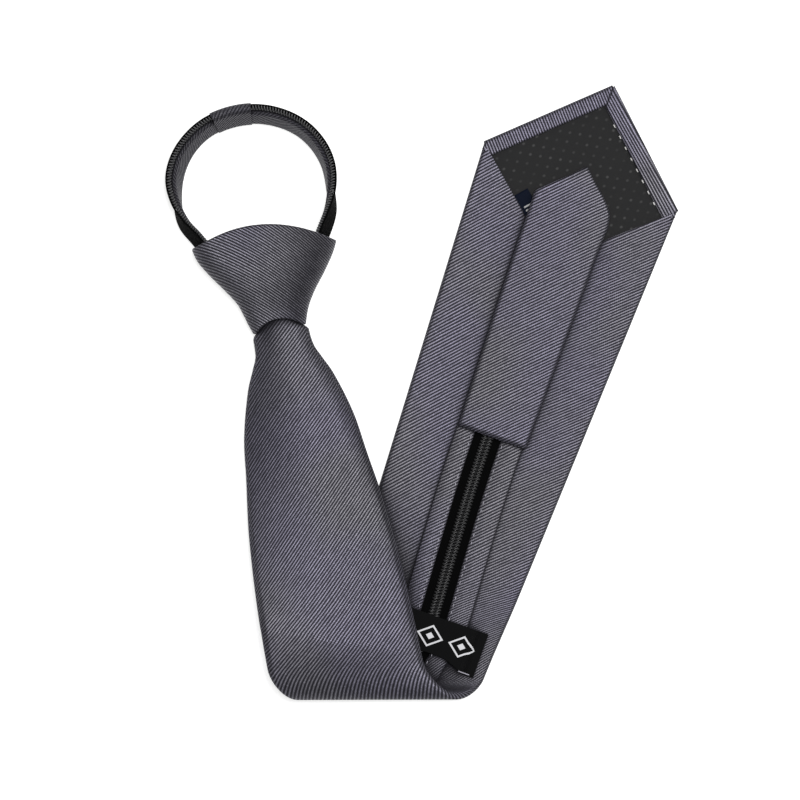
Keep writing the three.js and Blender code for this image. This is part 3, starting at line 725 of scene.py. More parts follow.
settle(make_tip_front(), grey_repp, "grey_repp")
settle(make_hem("tip_hem_left", -1, HEM_WIDTH_LEFT), grey_repp, "grey_repp")
settle(make_hem("tip_hem_right", 1, HEM_WIDTH_RIGHT), grey_repp, "grey_repp")

# %% [markdown]
# ## Stitches
#
# A stitch is a short arch of thread. Each is a little tube along a path, and one row of them is
# one mesh, which is much lighter than an object for each stitch.

# %% Thread and tubes
STITCH_POINTS = 7


def tube_rings(path, radius, sides, axis):
    """Rings of points round a path. Axis holds a direction that the path never follows."""
    tangent = np.gradient(path, axis=0)
    tangent /= np.linalg.norm(tangent, axis=1, keepdims=True)
    side = np.cross(tangent, axis)
    side /= np.linalg.norm(side, axis=1, keepdims=True)
    other = np.cross(tangent, side)
    turn = np.linspace(0, 2 * np.pi, sides, endpoint=False)[None, :, None]
    return path[:, None] + radius * (np.cos(turn) * side[:, None] + np.sin(turn) * other[:, None])


def tubes(name, paths, radius, axes, sides=6):
    """Many tubes as one mesh."""
    points, faces, start = [], [], 0
    for path, axis in zip(paths, axes):
        rings = tube_rings(path, radius, sides, axis)
        rows = len(path)
        quads = grid_faces(rows, sides, ring=True)[0]
        faces += (quads + start).tolist()
        faces.append([start + i for i in range(sides)][::-1])
        faces.append([start + (rows - 1) * sides + i for i in range(sides)])
        points.append(rings.reshape(-1, 3))
        start += rows * sides
    points = np.vstack(points)
    cloth = np.vstack([points[face][:, :2] for face in faces])
    return mesh_object(name, points, faces, cloth)


def stitches(name, centres, ways, ups, length, arch, radius):
    """A row of stitches: threads that run along ways and arch towards ups, one at each centre."""
    step = np.linspace(-0.5, 0.5, STITCH_POINTS)[:, None]
    paths = [
        centre + step * length * way + (0.25 - step ** 2) * 4 * arch * up - up * arch * 0.4
        for centre, way, up in zip(centres, ways, ups)
    ]
    return tubes(name, paths, radius, [np.broadcast_to(up, (STITCH_POINTS, 3)) for up in ups])


white_thread = plain("white thread", (0.75, 0.74, 0.72), roughness=0.5, sheen=0.3)
grey_thread = plain("grey thread", (0.36, 0.35, 0.4), roughness=0.5, sheen=0.3)

# %% [markdown]
# On the real tie only tiny white pick stitches show, where the right hem is sewn to the lining.

# %% Pick stitches
PICK_FIRST = 7.0
PICK_PITCH = 4.9
PICK_LENGTH = 1.2
PICK_ARCH = 0.3
THREAD_RADIUS = 0.3


def make_pick_stitches():
    length, corner, edge, inward = slanted_edge(1)
    along = np.arange(PICK_FIRST, length - 2 * PICK_FIRST, PICK_PITCH)[:, None]
    spots = corner + along * edge + (HEM_WIDTH_RIGHT + 0.2) * inward
    near = on_spots(spots, HEM_THICKNESS - 0.2)
    way = on_spots(spots + edge, HEM_THICKNESS - 0.2) - near
    up = np.broadcast_to([0, 0, 1.0], near.shape)
    return stitches("pick_stitches", near, way, up, PICK_LENGTH, PICK_ARCH, THREAD_RADIUS)


settle(make_pick_stitches(), white_thread, "grey_repp")

# %% [markdown]
# ## Lining
#
# The pocket of the point is faced with a smooth charcoal lining, printed with a grid of small
# lighter dots. It is one flat sheet whose edges slip under the hems and flaps. The dots could
# be little discs, but print has no height, so they are a colour on the grid of the cloth.

# %% Lining
LINING_HEIGHT = 1.1
LINING_TUCK = 3.0
LINING_INSET = 4.0
LINING_THICKNESS = 0.25
LINING_WAVE = 0.12
DOT_STEP_ACROSS = 3.95
DOT_STEP_DOWN = 3.76
DOT_SLANT = 0.177
DOT_RADIUS = 0.52
THREADS_PER_MM = 3.0
CHARCOAL = (0.0078, 0.0078, 0.0082)
DOT_GREY = (0.045, 0.045, 0.045)


def lining_material():
    recipe = Recipe("dotted lining", roughness=0.6, sheen=0.05, specular=0.22)
    u, v = recipe.cloth()
    row = (u * DOT_SLANT + v) / DOT_STEP_DOWN
    to_column = (recipe.math("FRACT", u / DOT_STEP_ACROSS) - 0.5) * DOT_STEP_ACROSS
    to_row = (recipe.math("FRACT", row) - 0.5) * DOT_STEP_DOWN
    away = recipe.math("SQRT", to_column * to_column + to_row * to_row)
    dot = recipe.spread(away, DOT_RADIUS * 0.4, DOT_RADIUS * 1.5, 1.0, 0.0)
    worn = recipe.spread(recipe.noise(u, v, scale=0.12), 0.35, 0.65, 0.25, 1.0)
    weave = recipe.ridge(u * THREADS_PER_MM) * recipe.ridge(v * THREADS_PER_MM)
    colour = recipe.blend(dot * worn, CHARCOAL, DOT_GREY)
    return recipe.finish(colour, weave + recipe.noise(u, v, scale=0.3), 0.06)


def make_tip_lining():
    side = TIP_WIDTH / 2 - LINING_INSET
    u = np.linspace(-side, side, 81)
    room = 1 - np.abs(u) / (TIP_WIDTH / 2)
    top = -POINT_HEIGHT * room + LINING_TUCK
    bottom = POCKET_DEPTH * room + LINING_TUCK
    t = mix(top[None, :], bottom[None, :], np.linspace(0, 1, 60)[:, None])
    across = np.broadcast_to(u[None, :], t.shape)
    wave = LINING_WAVE * np.sin(across * 0.22 + t * 0.1) * np.cos(t * 0.16)
    grid = on_second_leg(across, t, LINING_HEIGHT + wave)
    return thicken(grid_object("tip_lining", grid, np.stack([across, t], axis=-1)), LINING_THICKNESS)


settle(make_tip_lining(), lining_material(), "dotted_lining", "tip_lining")

# %% [markdown]
# ## Care label
#
# A little navy label is sewn in under the left flap, and half of it is hidden there. It is a
# small sheet whose inner edge dips under the flap, with a few plain woven bars.

# %% Care label
LABEL_LENGTH = 12.0
LABEL_WIDTH = 6.0
LABEL_TUCK = 1.5
LABEL_REACH = 30.0
LABEL_HEIGHT = 1.95
LABEL_DIP = 0.35
LABEL_THICKNESS = 0.3
LABEL_WEAVE_PER_MM = 4.0
BAR_STEP = 1.5
BAR_EDGE = 0.62
NAVY = (0.0025, 0.005, 0.014)
BAR_GREY = (0.42, 0.42, 0.42)


def label_material():
    recipe = Recipe("navy weave", roughness=0.7, specular=0.1)
    u, v = recipe.cloth()
    bars = recipe.math("GREATER_THAN", recipe.ridge(u / BAR_STEP), BAR_EDGE)
    inside = recipe.math("COMPARE", v, 2.6, 1.5) * recipe.math("COMPARE", u, 2.0, 2.6)
    colour = recipe.blend(bars * inside, NAVY, BAR_GREY)
    return recipe.finish(colour, recipe.ridge(v * LABEL_WEAVE_PER_MM), 0.05)


def make_care_label():
    flap = np.array([TIP_WIDTH / 2, POCKET_DEPTH]) / np.hypot(TIP_WIDTH / 2, POCKET_DEPTH)
    inward = np.array([flap[1], -flap[0]])
    along = np.linspace(-LABEL_LENGTH / 2, LABEL_LENGTH / 2, 13)[:, None, None]
    away = np.linspace(-LABEL_TUCK, LABEL_WIDTH, 9)[None, :, None]
    spots = np.array([-TIP_WIDTH / 2, 0]) + (LABEL_REACH + along) * flap + away * inward
    height = LABEL_HEIGHT - LABEL_DIP * smooth_step(-away[..., 0] / LABEL_TUCK) + 0 * along[..., 0]
    grid = on_spots(spots, height)
    flat = np.stack(np.broadcast_arrays(along[..., 0], away[..., 0]), axis=-1)
    return thicken(grid_object("care_label", grid, flat), LABEL_THICKNESS, 1.0)


settle(make_care_label(), label_material(), "navy_weave", "care_label")

# %% [markdown]
# ## The tail
#
# The narrow end lies on the back of the blade and points into the open tip. It is padded like
# the blade. Its outline was measured, so it is a short table of left and right edges, and each
# row is a closed, soft-edged section.

# %% Tail
TAIL_WIDTH = 30.4
TAIL_THICKNESS = 2.8
TAIL_END_AT = 108.5
TAIL_POINT_SHARE = 0.55
TAIL_CROWN = 0.35
TAIL_DIP = 0.9
TAIL_DIP_FROM = 16
TAIL_DIP_OVER = 26
CLEARANCE = 0.3

# Edges of the tail down the second leg, as shares of its width.
TAIL_EDGES = np.array([
    # down, left, right
    (-0.145, 0.010, 0.050), (0.000, -0.125, 0.197), (0.164, -0.299, 0.382), (0.263, -0.405, 0.470),
    (0.345, -0.487, 0.520), (0.411, -0.508, 0.537), (0.526, -0.503, 0.553), (0.855, -0.497, 0.536),
    (1.349, -0.487, 0.533), (2.467, -0.454, 0.523), (3.569, -0.418, 0.510),
])


def soft_ring(half, thick, crown=0.0, flat_steps=30, roll_steps=8):
    """Columns of u, depth and wrapped length for closed sections with rolled edges.

    The wrapped length is minus u on the upper face, so ribs stay straight as the width changes."""
    half = half[:, None]
    thick = np.broadcast_to(thick, half.shape[:1])[:, None]
    roll = np.minimum(thick / 2, half * 0.95)
    flat = half - roll
    face = np.linspace(-1, 1, flat_steps)[None, :]
    turn = np.radians(np.linspace(0, 180, roll_steps + 2))[None, 1:-1]
    squash = thick / 2
    swell = crown * (1 - face ** 2)
    u = np.hstack([flat * face, flat + roll * np.sin(turn), -flat * face, -flat - roll * np.sin(turn)])
    depth = np.hstack([0 * flat * face, squash * (1 - np.cos(turn)), thick + swell + 0 * flat,
                       squash * (1 + np.cos(turn))])
    edge = roll * np.pi
    wrapped = np.hstack([flat * face - 2 * flat - edge, roll * turn - flat - edge, flat * face,
                         flat + roll * turn])
    return u, depth, wrapped


def make_tail_blade():
    down = TAIL_EDGES[:, 0] * TAIL_WIDTH
    t = np.concatenate([np.linspace(down[0], 20, 60), np.linspace(20, TAIL_END_AT, 46)[1:]])
    left = smooth(down, TAIL_EDGES[:, 1] * TAIL_WIDTH, t)
    right = smooth(down, TAIL_EDGES[:, 2] * TAIL_WIDTH, t)
    half = np.maximum((right - left) / 2, 0.6)
    thick = TAIL_THICKNESS * mix(TAIL_POINT_SHARE, 1.0, smooth_step(half / 12))
    u, depth, wrapped = soft_ring(half, thick, TAIL_CROWN)
    across = (left + right)[:, None] / 2 + u
    rows = np.broadcast_to(t[:, None], u.shape)
    dip = TAIL_DIP * smooth_step((TAIL_DIP_FROM - rows) / TAIL_DIP_OVER)
    grid = on_second_leg(across, rows, BLADE_THICKNESS + CLEARANCE + depth - dip)
    middle = (left + right)[:, None] / 2
    return grid_object("tail_blade", grid, np.stack([wrapped - middle, -rows], axis=-1), ring=True)


settle(make_tail_blade(), grey_repp, "grey_repp", "tail_blade")

# %% [markdown]
# ## The zip strip
#
# A strip of the same cloth runs from the tail's end down the back of the blade and through the
# fold up to the knot. It holds a black zip tape between two folded margins. All of it follows
# the bend map at a depth behind the blade's front.

# %% Strip sizes
STRIP_LEFT_MARGIN = 8.2
STRIP_RIGHT_MARGIN = 9.7
STRIP_THICKNESS = 1.4
MARGIN_TRIM = 0.6
MARGIN_SWELL = 0.4
ZIP_TAPE_WIDTH = 10.6
ZIP_TAPE_THICKNESS = 0.6
STRIP_DRIFT = 5.0
STRIP_RETURN_START = 10.0
STRIP_RETURN_LENGTH = 26.0
STRIP_KNOT_WIDTH = 0.46
TONGUE_LENGTH = 4.6
STRIP_NARROWS_AT = 0.08
STRIP_NARROWS_OVER = 0.35
TAPE_TUCK = 0.4
TAPE_DIP = 0.1
STRIP_NEAR = BLADE_THICKNESS + CLEARANCE
STRIP_START_Q = CORNER_LINE_Q - (TAIL_END_AT - 3) * np.cos(SECOND_HEADING)
STRIP_END_Q = -FIRST_LEG_LENGTH - TONGUE_LENGTH


def strip_centre(q):
    drift = STRIP_DRIFT * smooth_step((STRIP_START_Q - q) / STRIP_START_Q)
    return drift * smooth_step((q - STRIP_RETURN_START) / STRIP_RETURN_LENGTH)


def strip_scale(q):
    reach = (q - STRIP_END_Q) / (FIRST_LEG_LENGTH * STRIP_NARROWS_OVER) - STRIP_NARROWS_AT
    return mix(STRIP_KNOT_WIDTH, 1.0, smooth_step(reach))


def strip_piece(name, left, right, near, thickness, crown=0.0):
    """A closed band along the strip, between two places across it."""
    q = np.concatenate([np.arange(STRIP_END_Q, -40, 2.0), np.arange(-40, 35, 0.8),
                        np.arange(35, STRIP_START_Q, 1.6)])
    scale = strip_scale(q)
    half = (right - left) / 2 * scale
    u, depth, wrapped = soft_ring(half, thickness, crown, 16, 6)
    middle = strip_centre(q) + (left + right) / 2 * scale
    rows = np.broadcast_to(q[:, None], u.shape)
    grid = on_section(rows, middle[:, None] + u, near + depth)
    cloth = np.stack([wrapped - middle[:, None], rows / np.cos(section_turn(rows))], axis=-1)
    return grid_object(name, grid, cloth, ring=True, flip=True)


HALF_TAPE = ZIP_TAPE_WIDTH / 2
for node, side, margin in (
    ("strip_cover_left", -1, STRIP_LEFT_MARGIN), ("strip_cover_right", 1, STRIP_RIGHT_MARGIN),
):
    edges = sorted([side * HALF_TAPE, side * (HALF_TAPE + margin - MARGIN_TRIM)])
    cover = strip_piece(node, *edges, STRIP_NEAR, STRIP_THICKNESS, MARGIN_SWELL)
    settle(cover, grey_repp, "grey_repp", node)

# %% [markdown]
# ## Zip tape
#
# Zip tape is a dense black weave of fine cords along its length. The cords are too fine for a
# mesh, so a bump draws them on a band that follows the strip.

# %% Zip tape
CORD_PITCH = 0.62
PICK_SPACING = 0.5
TAPE_GROOVE = (0.0006, 0.0006, 0.0006)
TAPE_CREST = (0.0045, 0.0045, 0.005)


def tape_material():
    recipe = Recipe("black tape", roughness=0.85, specular=0.04)
    u, v = recipe.cloth()
    cord = recipe.ridge(u / CORD_PITCH)
    height = cord * recipe.ridge(v / PICK_SPACING + cord * 0.5)
    return recipe.finish(recipe.blend(height, TAPE_GROOVE, TAPE_CREST), height, 0.15)


black_tape = tape_material()
TAPE_EDGE = HALF_TAPE + TAPE_TUCK
tape_band = strip_piece("zip_tape", -TAPE_EDGE, TAPE_EDGE, STRIP_NEAR + TAPE_DIP, ZIP_TAPE_THICKNESS)
settle(tape_band, black_tape, "black_tape", "zip_tape")

# %% [markdown]
# ## Zip coil
#
# A nylon zip has no separate teeth: each side is one thread wound into a coil, and the two
# coils mesh. So each half here is a helix, half a turn out of step with the other.

# %% Zip coil
COIL_PITCH = 1.22
COIL_THREAD = 0.26
COIL_LIE = 0.85
COIL_SIDE = 1.05
COIL_REACH = 1.2
COIL_HEIGHT = 0.42
TURN_STEPS = 12


def coil_path(side):
    turns = (STRIP_START_Q - STRIP_END_Q) / COIL_PITCH
    angle = np.linspace(0, 2 * np.pi * turns, int(turns * TURN_STEPS))
    q = STRIP_START_Q - COIL_PITCH * (angle + COIL_LIE * np.cos(angle) + np.pi * (side > 0)) / (2 * np.pi)
    u = side * COIL_SIDE + COIL_REACH * np.cos(angle)
    depth = STRIP_NEAR + TAPE_DIP + ZIP_TAPE_THICKNESS + COIL_HEIGHT + COIL_HEIGHT * np.sin(angle)
    return on_section(q, strip_centre(q) + u * strip_scale(q), depth), q, u


def make_zip_coil():
    paths, ways = [], []
    for side in (-1, 1):
        path, q, u = coil_path(side)
        paths.append(path)
        centre = strip_centre(q)
        ways.append(on_section(q + 0.5, centre, np.full_like(q, STRIP_NEAR))
                    - on_section(q - 0.5, centre, np.full_like(q, STRIP_NEAR)))
    return tubes("zip_coil", paths, COIL_THREAD, ways)


black_nylon = plain("black nylon", (0.02, 0.02, 0.0208), roughness=0.34)
settle(make_zip_coil(), black_nylon, "black_nylon", "zip_coil")

# %% [markdown]
# ## Topstitching
#
# A row of small stitches holds each margin to the tape. They catch the light as specks.

# %% Topstitches
TOP_PITCH = 3.1
TOP_LENGTH = 1.1
TOP_INSET = 1.1
TOP_ARCH = 0.12
TOP_RADIUS = 0.15


def make_topstitches():
    centres, ways, ups = [], [], []
    for side in (-1, 1):
        q = np.arange(STRIP_START_Q - 2, 4, -TOP_PITCH)
        u = strip_centre(q) + side * (HALF_TAPE + TOP_INSET)
        top = np.full_like(q, STRIP_NEAR + STRIP_THICKNESS + 0.06)
        spot = on_section(q, u, top)
        way = on_section(q + 0.5, u, top) - on_section(q - 0.5, u, top)
        up = on_section(q, u, top + 1) - spot
        centres.append(spot)
        ways.append(way / np.linalg.norm(way, axis=1, keepdims=True))
        ups.append(up)
    centres, ways, ups = (np.vstack(rows) for rows in (centres, ways, ups))
    return stitches("topstitches", centres, ways, ups, TOP_LENGTH, TOP_ARCH, TOP_RADIUS)


settle(make_topstitches(), grey_thread, "grey_repp")

# %% [markdown]
# ## Keeper label
#
# A black satin label, sewn down at both ends, keeps the strip in place. It arches over the
# strip like a low bridge. Its woven figures are plain white lozenges.

# %% Keeper label
KEEPER_LENGTH = 18.0
KEEPER_WIDTH = 42.4
KEEPER_THICKNESS = 0.7
KEEPER_AT = 182.2
KEEPER_RIGHT_EDGE = 26.4
KEEPER_SEWN = 3.0
KEEPER_CUT_BACK = 3.4
KEEPER_TAPER = 12
KEEPER_SEWN_AT = BLADE_THICKNESS + 0.1
KEEPER_RISE = STRIP_THICKNESS + CLEARANCE + 0.35
LOZENGE_STEP = 13.1
LOZENGE_FIRST = 18.0
LOZENGE_WIDTH = 11.0
LOZENGE_HEIGHT = 9.0
LOZENGE_DOWN = 8.0
LOZENGE_LAST = 24.0
LOZENGE_BORDER = (0.9, 0.1)
LOZENGE_HEART = 0.32
TWILL_PER_MM = 1.9


def keeper_material():
    recipe = Recipe("black satin", roughness=0.7, specular=0.06)
    u, v = recipe.cloth()
    place = (u - LOZENGE_FIRST) / LOZENGE_STEP
    across = abs((place - recipe.math("ROUND", place)) * LOZENGE_STEP) / (LOZENGE_WIDTH / 2)
    ring = across + abs(v - LOZENGE_DOWN) / (LOZENGE_HEIGHT / 2)
    border = recipe.math("COMPARE", ring, *LOZENGE_BORDER)
    heart = recipe.math("LESS_THAN", ring, LOZENGE_HEART)
    figure = recipe.math("MAXIMUM", border, heart) * recipe.math("LESS_THAN", u, LOZENGE_LAST)
    twill = recipe.ridge((u + v) * TWILL_PER_MM)
    black = recipe.blend(twill, (0.0015, 0.0015, 0.0015), (0.006, 0.006, 0.0065))
    white = recipe.blend(twill, (0.5, 0.5, 0.52), (0.86, 0.86, 0.88))
    return recipe.finish(recipe.blend(figure, black, white), twill + figure * 0.8, 0.07)


def on_back(u, t, depth):
    """A point of the second leg's back, at a depth behind the blade's front."""
    spot = on_second_leg(u, t, 0.0)
    return behind(spot[..., 0], spot[..., 1] - FOLD_Y + CURL_SLACK * MIDDLE_CURL / 2, depth)


def make_keeper_label():
    share = np.linspace(0, 1, 90)[None, :]
    u = KEEPER_RIGHT_EDGE - KEEPER_WIDTH * share
    from_end = np.minimum(share, 1 - share) * KEEPER_WIDTH
    arch = smooth_step((from_end - KEEPER_SEWN) / KEEPER_SEWN)
    down = np.linspace(0, 1, 30)[:, None]
    cut_back = KEEPER_CUT_BACK * smooth_step((from_end - KEEPER_SEWN) / KEEPER_TAPER)
    fall = down * (KEEPER_LENGTH - cut_back * down ** 2)
    grid = on_back(u, KEEPER_AT + fall, KEEPER_SEWN_AT + KEEPER_RISE * arch)
    cloth = np.stack(np.broadcast_arrays(u, fall), axis=-1)
    return thicken(grid_object("keeper_label", grid, cloth), KEEPER_THICKNESS, 1.0)


settle(make_keeper_label(), keeper_material(), "black_satin", "keeper_label")

# %% [markdown]
# One long stitch at the lower right corner of the label shows where it is sewn down.

# %% Keeper stitch
KEEPER_STITCH_LENGTH = 4.6
KEEPER_STITCH_ARCH = 0.2
KEEPER_STITCH_RADIUS = 0.22
KEEPER_STITCH_U = KEEPER_RIGHT_EDGE - 4.1
KEEPER_STITCH_T = KEEPER_AT + KEEPER_LENGTH - 0.6


def make_keeper_stitch():
    u, t = np.array([KEEPER_STITCH_U]), np.array([KEEPER_STITCH_T])
    depth = np.full(1, BLADE_THICKNESS + 2.9)
    centre = on_back(u, t, depth)
    up = on_back(u, t, depth + 1) - centre
    way = on_second_leg(u + 1, t, 0.0) - on_second_leg(u, t, 0.0)
    return stitches("keeper_stitch", centre, way, up, KEEPER_STITCH_LENGTH, KEEPER_STITCH_ARCH,
                    KEEPER_STITCH_RADIUS)


settle(make_keeper_stitch(), grey_thread, "black_satin")

# %% [markdown]
# ## The knot
#
# The ready-made knot is cloth wrapped on a hollow former. Its section is a soft D, flat behind
# and round in front, and it opens from the narrow exit to the wide mouth. Both rims are
# turned in. The ribs sweep across it in an arc, because the cloth is pulled round the former.

# %% Knot sizes
KNOT_LENGTH = 33.2
MOUTH_HALF_WIDTH = 28.6
MOUTH_HEIGHT = 24.0
MOUTH_ARCH = 7.3
MOUTH_SLANT = 3.6
EXIT_ARCH = 3.9
KNOT_BELT = 0.42
KNOT_SIDES = 120
KNOT_RIM = 0.8
KNOT_CLOTH = 0.5
EXIT_ROLL = 0.4

# Sections of the knot up its axis: up as a share of its length, shift to the right and half
# width as shares of the mouth's half width, and height as a share of the mouth's height.
KNOT_SECTIONS = np.array([
    # up, shift, half, height
    (0.000, 0.000, 0.367, 0.62), (0.118, 0.000, 0.413, 0.65), (0.235, 0.012, 0.462, 0.70),
    (0.382, 0.040, 0.545, 0.78), (0.571, 0.060, 0.700, 0.88), (0.797, 0.062, 0.880, 0.96),
    (1.000, 0.048, 0.990, 1.00), (1.350, 0.030, 1.040, 1.02),
])

KNOT_BASE = front(centre_x(-FIRST_LEG_LENGTH), np.array(-FIRST_LEG_LENGTH)) * np.array([1, 1, 0])


def from_knot(points):
    """Turns points of the knot's own frame into the pattern's."""
    sin, cos = np.sin(FIRST_HEADING), np.cos(FIRST_HEADING)
    x, y, z = points[..., 0], points[..., 1], points[..., 2]
    return KNOT_BASE + np.stack([x * cos - y * sin, x * sin + y * cos, z], axis=-1)


def knot_section(angle, up, inset):
    """Points of the soft D section at one height, or one height for each angle."""
    table_up, shift, half, height = KNOT_SECTIONS.T
    share = up / KNOT_LENGTH
    half = smooth(table_up, half, share) * MOUTH_HALF_WIDTH - inset
    height = smooth(table_up, height, share) * MOUTH_HEIGHT - 2 * inset
    belt = height * KNOT_BELT
    rise = np.sin(angle)
    lift = np.where(rise > 0, (height - belt) * np.maximum(rise, 0) ** 0.8, -belt * np.abs(rise) ** 0.38)
    x = smooth(table_up, shift, share) * MOUTH_HALF_WIDTH + knot_across(angle) * half
    return np.stack([x, up + 0 * x, inset + belt + lift], axis=-1)


def knot_across(angle):
    return np.sign(np.cos(angle)) * np.abs(np.cos(angle)) ** 0.85


def knot_ring(share, inset, extra):
    """One ring of the knot: share up it, inset from its outside and extra millimetres on."""
    angle = np.linspace(0, 2 * np.pi, KNOT_SIDES, endpoint=False)
    across = knot_across(angle)
    front_share = np.maximum(np.sin(angle), 0) ** 0.5
    exit_rim = CLEARANCE + EXIT_ARCH * (1 - across ** 2) * front_share
    mouth_rim = KNOT_LENGTH + MOUTH_ARCH * (1 - across ** 2) * front_share - MOUTH_SLANT * across
    ring = knot_section(angle, mix(exit_rim, mouth_rim, share), inset)
    return ring + np.array([0, extra, 0])


# %% [markdown]
# `knot_cloth` gives each point of the knot a flat cloth position that makes the ribs fan out.
# The knot itself is a stack of rings: in from the exit, over its rim, up the outside, over the
# rim of the mouth and down the inside.

# %% Knot cloth
KNOT_RIB_LEFT = np.radians(-18)
KNOT_RIB_RIGHT = np.radians(-47)
KNOT_RIB_MIDDLE = np.radians(-32)
KNOT_RIB_PITCH = 0.98


def knot_cloth(points):
    """Flat cloth position whose ribs sweep from the left slope to the right one."""
    x, y = points[..., 0], points[..., 1]
    share = np.clip(x / MOUTH_HALF_WIDTH, -1.3, 1.3)
    left, right = np.tan(KNOT_RIB_LEFT), np.tan(KNOT_RIB_RIGHT)
    fall = x * (left + right) / 2 + MOUTH_HALF_WIDTH * share ** 2 * (right - left) / 4
    cross = (y - fall) * np.cos(KNOT_RIB_MIDDLE)
    down = x / np.cos(KNOT_RIB_MIDDLE)
    return np.stack([cross + down, cross - down], axis=-1) * np.sqrt(0.5) * RIB_PITCH / KNOT_RIB_PITCH


def make_knot():
    rim = np.radians(np.arange(20, 181, 20))
    rings = [knot_ring(share, 2 * KNOT_RIM, 0.0) for share in np.linspace(0.25, 0.0, 6)]
    rings += [
        knot_ring(0.0, KNOT_RIM * (1 + np.cos(turn)), -KNOT_RIM * np.sin(turn) * EXIT_ROLL)
        for turn in rim
    ]
    rings += [knot_ring(share, 0.0, 0.0) for share in np.linspace(0, 1, 90)[1:]]
    rings += [knot_ring(1.0, KNOT_RIM * (1 - np.cos(turn)), KNOT_RIM * np.sin(turn)) for turn in rim]
    rings += [knot_ring(share, 2 * KNOT_RIM, 0.0) for share in np.linspace(1.0, 0.55, 12)[1:]]
    grid = np.array(rings)
    cloth = knot_cloth(from_knot(closed(grid)) - KNOT_BASE)
    return grid_object("knot", from_knot(grid), cloth, ring=True, caps=False, flip=True)


settle(thicken(make_knot(), KNOT_CLOTH), knot_repp, "grey_repp", "knot")

# %% [markdown]
# ## The core
#
# Inside the knot a black moulded former carries the strap. Its arm lies in the mouth.

# %% Knot core
CORE_START = 10.0
CORE_END = 26.0
CORE_INSET = 2.2
STUB_WIDTH = 3.6
STUB_LENGTH = 17.0
STUB_HEIGHT = 3.0
STUB_TURN = np.radians(38)
STUB_PLACE = np.array([-12.2, 31.0, 7.0])


def make_knot_core():
    angle = np.linspace(0, 2 * np.pi, 60, endpoint=False)
    grid = np.array([knot_section(angle, up, CORE_INSET) for up in np.linspace(CORE_START, CORE_END, 16)])
    return grid_object("knot_core", from_knot(grid), closed(grid)[..., [0, 2]], ring=True, flip=True)


def make_core_arm():
    corners = np.array([(-1, -1), (1, -1), (1, 1), (-1, 1)]) * 0.5
    rows = []
    for step in np.linspace(-0.5, 0.5, 8):
        along, side = step * STUB_LENGTH, corners[:, 0] * STUB_WIDTH
        x = side * np.cos(STUB_TURN) - along * np.sin(STUB_TURN)
        y = side * np.sin(STUB_TURN) + along * np.cos(STUB_TURN)
        rows.append(STUB_PLACE + np.stack([x, y, corners[:, 1] * STUB_HEIGHT], axis=-1))
    grid = np.array(rows)
    arm = grid_object("core_arm", from_knot(grid), closed(grid)[..., :2], ring=True)
    bevel = arm.modifiers.new("soft edges", "BEVEL")
    bevel.width, bevel.segments = 0.7 * MM, 3
    return arm


black_plastic = plain("black plastic", (0.008, 0.008, 0.008), roughness=0.45)
settle(make_knot_core(), black_plastic, "black_plastic", "knot_core")
settle(make_core_arm(), black_plastic, "black_plastic")

# %% [markdown]
# ## The neck loop
#
# The strap is a narrow zip: a grey cover inside, black tape outside it and the coil on its
# upper edge. It stands on edge and leans outward, so from above the coil is outermost, and
# near the knot it twists so that the coil comes inside. `loop_frame` gives its middle and the
# directions up and out of the band at each turn round the neck.

# %% Loop sizes
LOOP_HALF_WIDTH = 31.0
BAND_HEIGHT = 12.0
BAND_THICKNESS = 1.6
NECK_TAPE_THICKNESS = 0.8
NECK_TAPE_WIDTH = 9.4
NECK_COIL_RADIUS = 1.1
BAND_LIFT = 2.7
BAND_RISE = 2.9
SLEEVE_LENGTH = 15.0
JOIN_TURN = 107.0
LOOP_CENTRE = np.array([-58.1, 85.7, 0.0])

# The loop round its centre: turn in degrees from the right, radius as a share of the loop's
# half width, outward lean in degrees, and how far it has risen towards the knot.
LOOP_TURNS = np.array([
    # turn, radius, lean, rise
    (-50.7, 1.187, -20, 1.0), (-34.0, 1.092, -25, 0.8), (-21.0, 1.050, -19, 0.4), (-6.0, 1.003, 3, 0.1),
    (16.0, 0.980, 15, 0.0), (40.0, 0.937, 20, 0.0), (74.0, 0.873, 24, 0.0), (106.0, 0.863, 24, 0.0),
    (138.0, 0.911, 24, 0.0), (175.0, 0.981, 22, 0.0), (196.0, 0.992, 4, 0.2), (212.0, 1.005, -19, 0.6),
    (226.5, 1.000, -25, 0.9), (254.0, 1.100, -20, 1.0),
])


def loop_spot(turn):
    radius = smooth(LOOP_TURNS[:, 0], LOOP_TURNS[:, 1], turn) * LOOP_HALF_WIDTH
    angle = np.radians(turn)
    return np.stack([radius * np.cos(angle), radius * np.sin(angle), 0 * radius], axis=-1)


def loop_frame(turn):
    along = loop_spot(turn + 0.5) - loop_spot(turn - 0.5)
    along /= np.linalg.norm(along, axis=-1, keepdims=True)
    outward = np.stack([along[..., 1], -along[..., 0], 0 * along[..., 0]], axis=-1)
    lean = np.radians(smooth(LOOP_TURNS[:, 0], LOOP_TURNS[:, 2], turn))[..., None]
    vertical = np.array([0, 0, 1.0])
    up = outward * np.sin(lean) + vertical * np.cos(lean)
    face = outward * np.cos(lean) - vertical * np.sin(lean)
    rise = smooth(LOOP_TURNS[:, 0], LOOP_TURNS[:, 3], turn)[..., None] * BAND_RISE
    height = BAND_LIFT + rise + BAND_HEIGHT / 2 * np.cos(lean)
    centre = LOOP_CENTRE + loop_spot(turn) + vertical * height
    return centre, up, face


def on_band(turn, out, high):
    """A point of the band: out of its middle face, and high above its lower edge."""
    centre, up, face = loop_frame(turn)
    out, high = np.asarray(out, float)[..., None], np.asarray(high, float)[..., None]
    return centre + face * out + up * (high - BAND_HEIGHT / 2)


